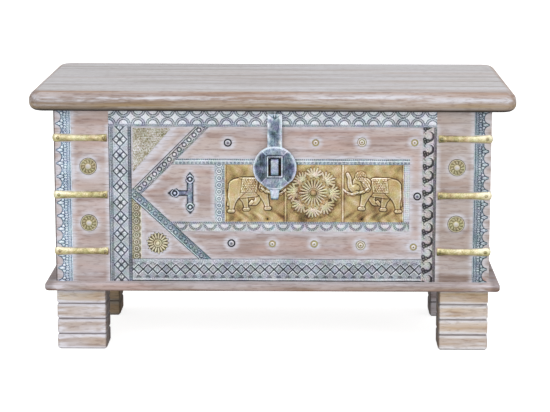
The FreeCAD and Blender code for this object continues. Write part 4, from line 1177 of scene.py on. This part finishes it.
def set_heads(name, node, head, metal, body="chest", seed=1):
    """Sets a head, whose axis is Z, where each solid of a CAD node stands, facing away from what it holds."""
    places, ways = [], []
    for solid in solids_of(node):
        low, high = np.min(solid, 0), np.max(solid, 0)
        middle, size = (low + high) / 2, high - low
        axis = int(np.argmin(size))
        way = np.zeros(3)
        way[axis] = math.copysign(1, middle[axis] - (0, -18 * MM, 300 * MM)[axis])
        places.append(middle - way * (size[axis] / 2))
        ways.append(way)
    mesh = bpy.data.meshes.new(name)
    mesh.from_pydata([list(place) for place in places], [], [])
    mesh.attributes.new("facing", "FLOAT_VECTOR", "POINT").data.foreach_set("vector", np.array(ways).ravel())
    piece = new_object(name, mesh)
    worked(piece, head_tree, Head=head, Metal=metal, Seed=seed, Smallest=0.96, Largest=1.03)
    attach(piece, body)
    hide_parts(node)
    bpy.data.objects.remove(head)
    return piece


def nail_head(name, profile, segments=20):
    """A turned head on the Z axis."""
    head = turned_boss(name, profile, segments)
    head.data.transform(Euler((-math.pi / 2, 0, 0)).to_matrix().to_4x4())
    return head


black_iron = struck_metal("blackened iron, nails",
                          [(0.0, "0e1115"), (0.4, "454b53"), (0.7, "9a9ea4"), (1.0, "e4e5e7")],
                          0.25, 0.5, speckle=0.04, cloud=0.04)
nail_brass = struck_metal("brass nail heads", [(0.0, "3f3a26"), (0.35, "8c8050"), (0.6, "bdb284"),
                                               (0.8, "cfc9bc"), (1.0, "d2cccf")],
                          0.2, 0.5, speckle=0.06, cloud=0.05, tint=0.3)
set_heads("black_ring_nails", "iron_ring_nails", nail_head("head", [
    (7.4, 0, 0.0), (7.3, 1.0, 0.0), (6.4, 1.6, 0.08), (5.2, 1.2, 0.0), (4.6, 0.9, 0.9), (3.8, 1.8, 0.85),
    (2.6, 2.6, 0.75), (1.6, 3.0, 0.45), (0.7, 3.2, 0.5)]), black_iron, seed=3)
set_heads("brass_cup_nails", "brass_nails", nail_head("head", [
    (6.7, 0, 0.1), (6.6, 0.9, 0.2), (5.9, 1.3, 0.52), (5.0, 1.1, 0.45), (4.4, 0.8, 0.1), (3.8, 1.0, 0.95),
    (2.4, 1.6, 1.0), (1.7, 2.1, 0.9), (1.2, 2.3, 0.2), (0.6, 2.4, 0.2)]), nail_brass, seed=5)
set_heads("double_ring_nail_heads", "double_ring_nails", nail_head("head", [
    (9.0, 0, 0.05), (8.9, 1.0, 0.1), (8.1, 1.3, 0.35), (7.5, 1.0, 1.0), (6.3, 1.3, 0.95), (5.5, 1.3, 0.1),
    (4.5, 1.8, 0.3), (3.8, 2.0, 0.95), (2.2, 2.9, 0.9), (1.4, 3.2, 0.2), (0.7, 3.3, 0.3)], 24), nail_brass,
    seed=9)


# ---- Brass corner straps
# Half-round cast brass, thick in the middle and spread at the ends, bent round the corner of the stile and
# nailed at each end.

def fine_copy(name, node, longest, tone_of, metal, body, uneven=0.0, sharp=40):
    """A CAD solid as a finer mesh, hammered a little, with a tone from place and distance to an edge."""
    form = bmesh.new()
    form.from_mesh(frame["nodes"][node].data)
    bmesh.ops.remove_doubles(form, verts=form.verts, dist=0.001 * MM)
    bmesh.ops.dissolve_limit(form, angle_limit=math.radians(1), verts=form.verts, edges=form.edges)
    bmesh.ops.triangulate(form, faces=form.faces)
    for _ in range(9):
        long_edges = [edge for edge in form.edges if edge.calc_length() > longest * MM]
        if not long_edges:
            break
        bmesh.ops.subdivide_edges(form, edges=long_edges, cuts=1)
        bmesh.ops.triangulate(form, faces=[face for face in form.faces if len(face.verts) > 3])
    limit = math.radians(sharp)
    for edge in form.edges:
        edge.smooth = not (edge.is_manifold and edge.calc_face_angle(0) > limit)
    for face in form.faces:
        face.smooth = True
    edges = [vert for vert in form.verts if any(not edge.smooth for edge in vert.link_edges)]
    near = kdtree.KDTree(max(1, len(edges)))
    for i, vert in enumerate(edges):
        near.insert(vert.co, i)
    near.balance()
    away = np.array([near.find(vert.co)[2] if edges else 1.0 for vert in form.verts]) / MM
    if uneven:
        form.normal_update()
        for vert, far in zip(form.verts, away):
            lump = noise.noise(vert.co * 90) + 0.5 * noise.noise(vert.co * 260)
            vert.co -= vert.normal * (0.5 + 0.5 * lump) * uneven * MM * min(1.0, far / 1.5)
    places = np.array([vert.co for vert in form.verts]) / MM
    mesh = bpy.data.meshes.new(name)
    form.to_mesh(mesh)
    form.free()
    mark(mesh, "tone", np.clip(tone_of(places, away), 0, 1))
    mesh.materials.append(metal)
    piece = new_object(name, mesh)
    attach(piece, body)
    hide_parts(node)
    return piece


def lumps(places, size, offset=0.0):
    """Soft noise between 0 and 1 at each place, with lumps of that size in millimetres."""
    return np.array([0.5 + 0.5 * noise.noise(Vector(place) / size + Vector((offset,) * 3))
                     for place in places])


strap_brass = struck_metal("half-round brass, straps",
                           [(0.0, "4e4426"), (0.35, "8c8154"), (0.6, "bcb081"), (1.0, "efe8cc")],
                           0.3, 0.42, speckle=0.12, cloud=0.16, tint=0.25)


def strap_tone(places, away):
    """Bright towards the corner of the stile and olive at the inner end; painted light and shade make it
    paler on top and darker under the belly.
    """
    out = np.clip((np.abs(places[:, 0]) - 305) / 100, 0, 1)
    level = (places[:, 2].min() + places[:, 2].max()) / 2
    patches = 0.4 * (lumps(places, 9.0) - 0.5) + 0.4 * (1 - out) * (lumps(places, 2.5, 4.0) - 0.5)
    # 0.03 per mm from the middle height is painted light and shade: paler on top, darker underneath
    return 0.46 + 0.34 * out + 0.03 * (places[:, 2] - level) - 0.25 * raised(away, 1.2) + patches


for side in ("left", "right"):
    for level in ("lower", "middle", "upper"):
        node = f"{side}_{level}_strap"
        fine_copy(f"{node}_brass", node, 5.0, strap_tone, strap_brass, "chest")
set_heads("strap_nail_heads", "strap_nails", nail_head("head", [
    (2.6, 0, 0.35), (2.5, 0.6, 0.45), (1.9, 1.1, 0.7), (0.9, 1.4, 0.7)], 10), strap_brass,
    seed=11)


# ---- Iron T-strap
# Forged from thin plate, blackened and rubbed pale on its face, with a pointed leaf and a nail at each end.

worn_iron = struck_metal("worn blue-grey iron",
                         [(0.0, "10151c"), (0.25, "3b4654"), (0.55, "7c8898"), (1.0, "d5dde8")],
                         0.35, 0.45, speckle=0.12, cloud=0.12)
tee_nails = [sum(solid, Vector()) / len(solid) / MM for solid in solids_of("t_strap_nails")]


def tee_tone(places, away):
    tone = (0.30 + 0.22 * np.clip(away / 4, 0, 1) - 0.60 * np.clip(1 - away / 2.2, 0, 1)
            + 0.4 * (lumps(places, 5) - 0.5))
    for nail in tee_nails:
        ring = np.hypot(places[:, 0] - nail.x, places[:, 2] - nail.z)
        tone = tone + 0.55 * raised(ring - 6.4, 1.3) - 0.6 * raised(ring - 4.4, 1.3)
    return tone


fine_copy("t_strap_forged", "iron_t_strap", 1.3, tee_tone, worn_iron, "chest", uneven=0.15)
set_heads("t_strap_nail_heads", "t_strap_nails", nail_head("head", [
    (3.5, 0, 0.0), (3.4, 0.8, 0.1), (2.6, 1.6, 0.55), (1.4, 2.1, 0.95), (0.6, 2.2, 0.95)], 12), worn_iron,
    seed=13)


# ---- Hasp, its eye and the padlock staple
# The hasp is iron plate: a strap that ends in a bar at the top, a round plate beaten up into four facets
# round a framed slot, and a tab to lift it by. It hangs in a wire eye and drops over a broad bent staple.

hasp_x, plate_z, slot_z = 4.0, 349.5, 352.0


def hasp_tone(places, away):
    """Dark left and right facets, paler above and below, and bright worn edges, creases and slot frame."""
    dx, dz = np.abs(places[:, 0] - hasp_x), places[:, 2] - slot_z
    radius = np.hypot(dx, places[:, 2] - plate_z)
    slot_edge = np.maximum(dx - 12, np.abs(dz) - 17.5)
    plate = within(radius - 41, 2) * within(places[:, 2] - 389, 4)
    sideways = np.clip((dx - 12 - (np.abs(dz) - 17.5)) / 4 + 0.5, 0, 1)
    brushed = lumps(places * (1, 1, 0.3), 2.4)
    clouds = lumps(places, 9, 3.0)
    stains = np.clip(lumps(places, 14, 8.0) * 3.2 - 1.6, 0, 1)
    patch = sideways * within(radius - 35 + 8 * (clouds - 0.5), 5) * np.clip((slot_edge - 3) / 4, 0, 1)
    facet = 0.55 - 0.32 * patch - 0.26 * stains * (1 - sideways) + 0.34 * (clouds - 0.5)
    facet = (facet + 0.55 * raised(radius - 38.8, 2.0) + 0.42 * raised(slot_edge - 1.3, 1.6)
             - 0.35 * raised(slot_edge - 3.6, 1.1))
    facet = facet + 0.38 * raised(dx - 12 - (np.abs(dz) - 17.5), 1.2) * within(3 - slot_edge)
    strap = 0.38 - 0.42 * stains + 0.50 * np.clip((dx - 9.0 + 4.0 * clouds) / 4, 0, 1)
    # Painted light: the strap is lightened above about 438 mm, where the lid shades it. A dark spot at 445 mm
    # and a dark V from it to the upper corners are painted shade in the curl round the eye.
    strap = (strap + 0.42 * within(438 - places[:, 2], 8)
             - 0.9 * within(np.hypot(dx, places[:, 2] - 445) - 3.0, 1.5))
    strap = strap - 0.5 * raised(dx * 0.8 - (places[:, 2] - 440), 1.3) * within(438 - places[:, 2], 2)
    tab = 0.80 + 0.25 * (clouds - 0.5) - 0.45 * within(places[:, 2] - 292.5, 2)
    tone = over(np.where(places[:, 2] < 308, tab, strap), plate, facet)
    # The dark line within 1 mm of the sharp edges below 380 mm is painted contact shade along the sides of
    # the plate, strap and tab
    return (tone + 0.36 * (brushed - 0.5)
            - 0.45 * np.clip(1 - away / 1.0, 0, 1) * within(places[:, 2] - 380, 8))


hasp_iron = struck_metal("worn blue-grey iron, hasp",
                         [(0.0, "222b37"), (0.25, "526075"), (0.55, "8f9cac"), (1.0, "dce4ee")],
                         0.35, 0.45, speckle=0.12, cloud=0.06)
fine_copy("hasp_forged", "hasp", 1.5, hasp_tone, hasp_iron, "hasp", uneven=0.2, sharp=24)
fine_copy("hasp_eye_wire", "hasp_eye", 3.0, lambda places, away: np.full(len(places), 0.95), hasp_iron, "lid")


def staple_tone(places, away):
    """Worn bright where the padlock rubs on its crown, dark down its legs."""
    return 0.58 - 0.60 * np.clip((places[:, 1] + 222) / 6, 0, 1) + 0.3 * (lumps(places, 7) - 0.5)


fine_copy("padlock_staple_bent", "padlock_staple", 2.2, staple_tone, hasp_iron, "chest")


# Painted shade: the tin and brass seen through the slot of the hasp are darkened, as in the shade under the
# hasp plate
for name in ("left_elephant_brass", "tile_frame_top_tin", "lotus_ground_brass"):
    mesh = bpy.data.objects[name].data
    for corner, tone in zip(mesh.vertices, mesh.attributes["tone"].data):
        beside = max(abs(corner.co.x / MM - hasp_x) - 14, abs(corner.co.z / MM - 349) - 21)
        tone.value = min(tone.value, max(0.0, beside / 3 - 0.15)) if beside < 3 else tone.value


# ---- Hinges at the back
# Plain iron butt hinges: a leaf on the back board, a leaf under the lid, knuckles and a headed pin, each leaf
# held by four round-headed screws.

hinge_iron = struck_metal("dull iron, hinges",
                          [(0.0, "2a2c2f"), (0.4, "5f6367"), (0.7, "8b8f93"), (1.0, "bfc2c5")], 0.6, 0.45)
for side in ("left", "right"):
    for part in ("body_leaf", "lid_leaf", "pin"):
        node = f"{side}_hinge_{part}"
        fine_copy(f"{node}_iron", node, 6.0, lambda places, away: 0.45 + 0.35 * np.clip(1 - away / 1.5, 0, 1)
                  + 0.3 * (lumps(places, 8) - 0.5), hinge_iron, frame["nodes"][node]["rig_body"])
for node, body, seed in (("hinge_body_screws", "chest", 17), ("hinge_lid_screws", "lid", 19)):
    set_heads(f"{node}_heads", node,
              nail_head("head", [(3.6, 0, 0.3), (3.4, 0.7, 0.6), (2.4, 1.2, 0.7), (1.0, 1.4, 0.75)],
                        16), hinge_iron, body, seed)


# ---- Front board and corner stiles
# Planed boards with the grain along the chest, painted with thin lime after everything was nailed on, and
# wiped: it stays round nails and bosses and beside the tin, and is gone where cloth and hands reached.

def nearness(x, z, pieces, reach):
    """1 at the edge of pieces that are nailed on, down to 0 at the reach in millimetres."""
    spots = [(corner.co.x / MM, 0, corner.co.z / MM) for name in pieces
             for corner in bpy.data.objects[name].data.vertices]
    near = kdtree.KDTree(len(spots))
    for i, spot in enumerate(spots):
        near.insert(spot, i)
    near.balance()
    away = np.array([near.find((a, 0, b))[2] for a, b in zip(x.ravel(), z.ravel())]).reshape(x.shape)
    return np.clip(1.15 - away / reach, 0, 1)


# Painted shade: a dark line from 401.6 to 404 mm from the middle, on the outer edge of the left stile, stands
# for the shade at its corner
front_wood = limed_wood("limed mango wood, front", "X", 41.0,
                        [(132, "afa19e"), (290, "b5a6a1"), (455, "b8a7a1")],
                        "dccfca", "cac8d0", 0.34, 0.30, rose="bb9f98", painted_shade=[("85817e", ("X", 401.6, 404.0))])
right_stile_wood = limed_wood("limed mango wood, right stile", "X", 47.0,
                              [(132, "a1948c"), (290, "ab9d97"), (455, "aea19a")],
                              "dbccc3", "c6c3c8", 0.34, 0.25, rose="b19a8f")
tin_round_field = ["top_border_tin", "left_border_tin", "bottom_border_tin", "right_border_tin",
                   "upper_arrow_tin",
                   "lower_arrow_tin", "tile_frame_top_tin", "tile_frame_bottom_tin", "tile_frame_left_tin",
                   "tile_frame_right_tin", "brass_ring_chain"]
thick_lime = [(-222, 262, 20, 22, 0.55), (-186, 372, 26, 14, 0.5), (-140, 236, 60, 8, 0.3),
              (250, 215, 26, 26, 0.35),
              (-25, 410, 60, 9, 0.3), (60, 220, 90, 7, 0.35), (205, 372, 60, 8, 0.35),
              (-338, 150, 40, 14, 0.4),
              (338, 420, 40, 20, 0.35), (345, 150, 36, 10, 0.3)]
worn_bare = [(392, 136, 14, 7, 0.9), (302, 300, 9, 9, 0.5), (-308, 400, 7, 6, 0.4), (-306, 190, 8, 6, 0.4),
             (308, 196, 9, 6, 0.5), (120, 386, 70, 6, 0.25), (-70, 222, 60, 5, 0.2), (-200, 330, 14, 7, 0.3)]


def limed_board(name, node, nailed, wood):
    """A board whose front carries the lime and the worn places as attributes."""
    low, high = box_mm(node)
    cell = 3.0
    x, z = np.meshgrid(np.linspace(low.x, high.x, int((high.x - low.x) / cell) + 1),
                       np.linspace(low.z, high.z, int((high.z - low.z) / cell) + 1), indexing="ij")
    wash, bare = np.zeros_like(x), np.zeros_like(x)
    for pieces, reach, strength in nailed:
        wash = np.maximum(wash, strength * nearness(x, z, pieces, reach))
    for patches, layer in ((thick_lime, wash), (worn_bare, bare)):
        for px, pz, rx, rz, strength in patches:
            layer += strength * np.clip(1.3 - 1.3 * np.hypot((x - px) / rx, (z - pz) / rz), 0, 1)
    piece = grid_piece(name, np.stack([x, np.full_like(x, low.y), z], -1), wash)
    piece.data.attributes["tone"].name = "wash"
    mark(piece.data, "bare", bare)
    piece.data.materials.append(wood)
    cut_to(piece, node)


limed_board("front_board_limed", "front_panel", [
    (tin_round_field, 8.0, 0.75), (["brass_corner_pricked"], 17.0, 1.1), (["t_strap_forged"], 8.0, 1.0),
    (["black_ring_nails", "double_ring_nail_heads"], 9.0, 1.0), (["brass_cup_nails"], 8.0, 0.9),
    (["sunburst"], 7.0, 0.8)],
            front_wood)
for side in ("left", "right"):
    limed_board(f"{side}_stile_limed", f"{side}_stile", [
        ([f"{side}_column_tin", f"{side}_border_tin"], 8.0, 0.8),
        ([f"{side}_lower_rosette_cast", f"{side}_upper_rosette_cast"], 8.0, 0.75)],
                front_wood if side == "left" else right_stile_wood)


# ---- Lid
# One wide glued-up board with a full round along all its edges. Its top is scrubbed nearly grey, its nose
# keeps more brown, and the lime lies in long streaks along the grain.

# Painted shade: the dark brown from 455.2 to 459.5 mm at the bottom of the round, and the darker band from
# 462 down to 457 mm on the front and back faces of the nose, stand for the shade under the lid's overhang
lid_wood = limed_wood("limed mango wood, lid", "X", 53.0, [
    (455, "a3917c"), (455.2, "362d25"), (459.5, "6f5d42"), (467, "98815b"), (474, "998778"), (487, "998071"),
    (491.5, "a38d7d"),
    (492.9, "b3b0b0"), (493, "b8b6b7")], "d6cdc8", "c9c9d0", 0.62, 0.16, rose="a8958c", level=1.3,
    stretch=2.4,
    painted_shade=[("5a514b", ("Z", 462, 457), ("Y", 204, 211))], limed=[("Z", 479, 9, 0.5)])
for node in ("lid_board", "left_lid_batten", "right_lid_batten"):
    finish_node(node, lid_wood)
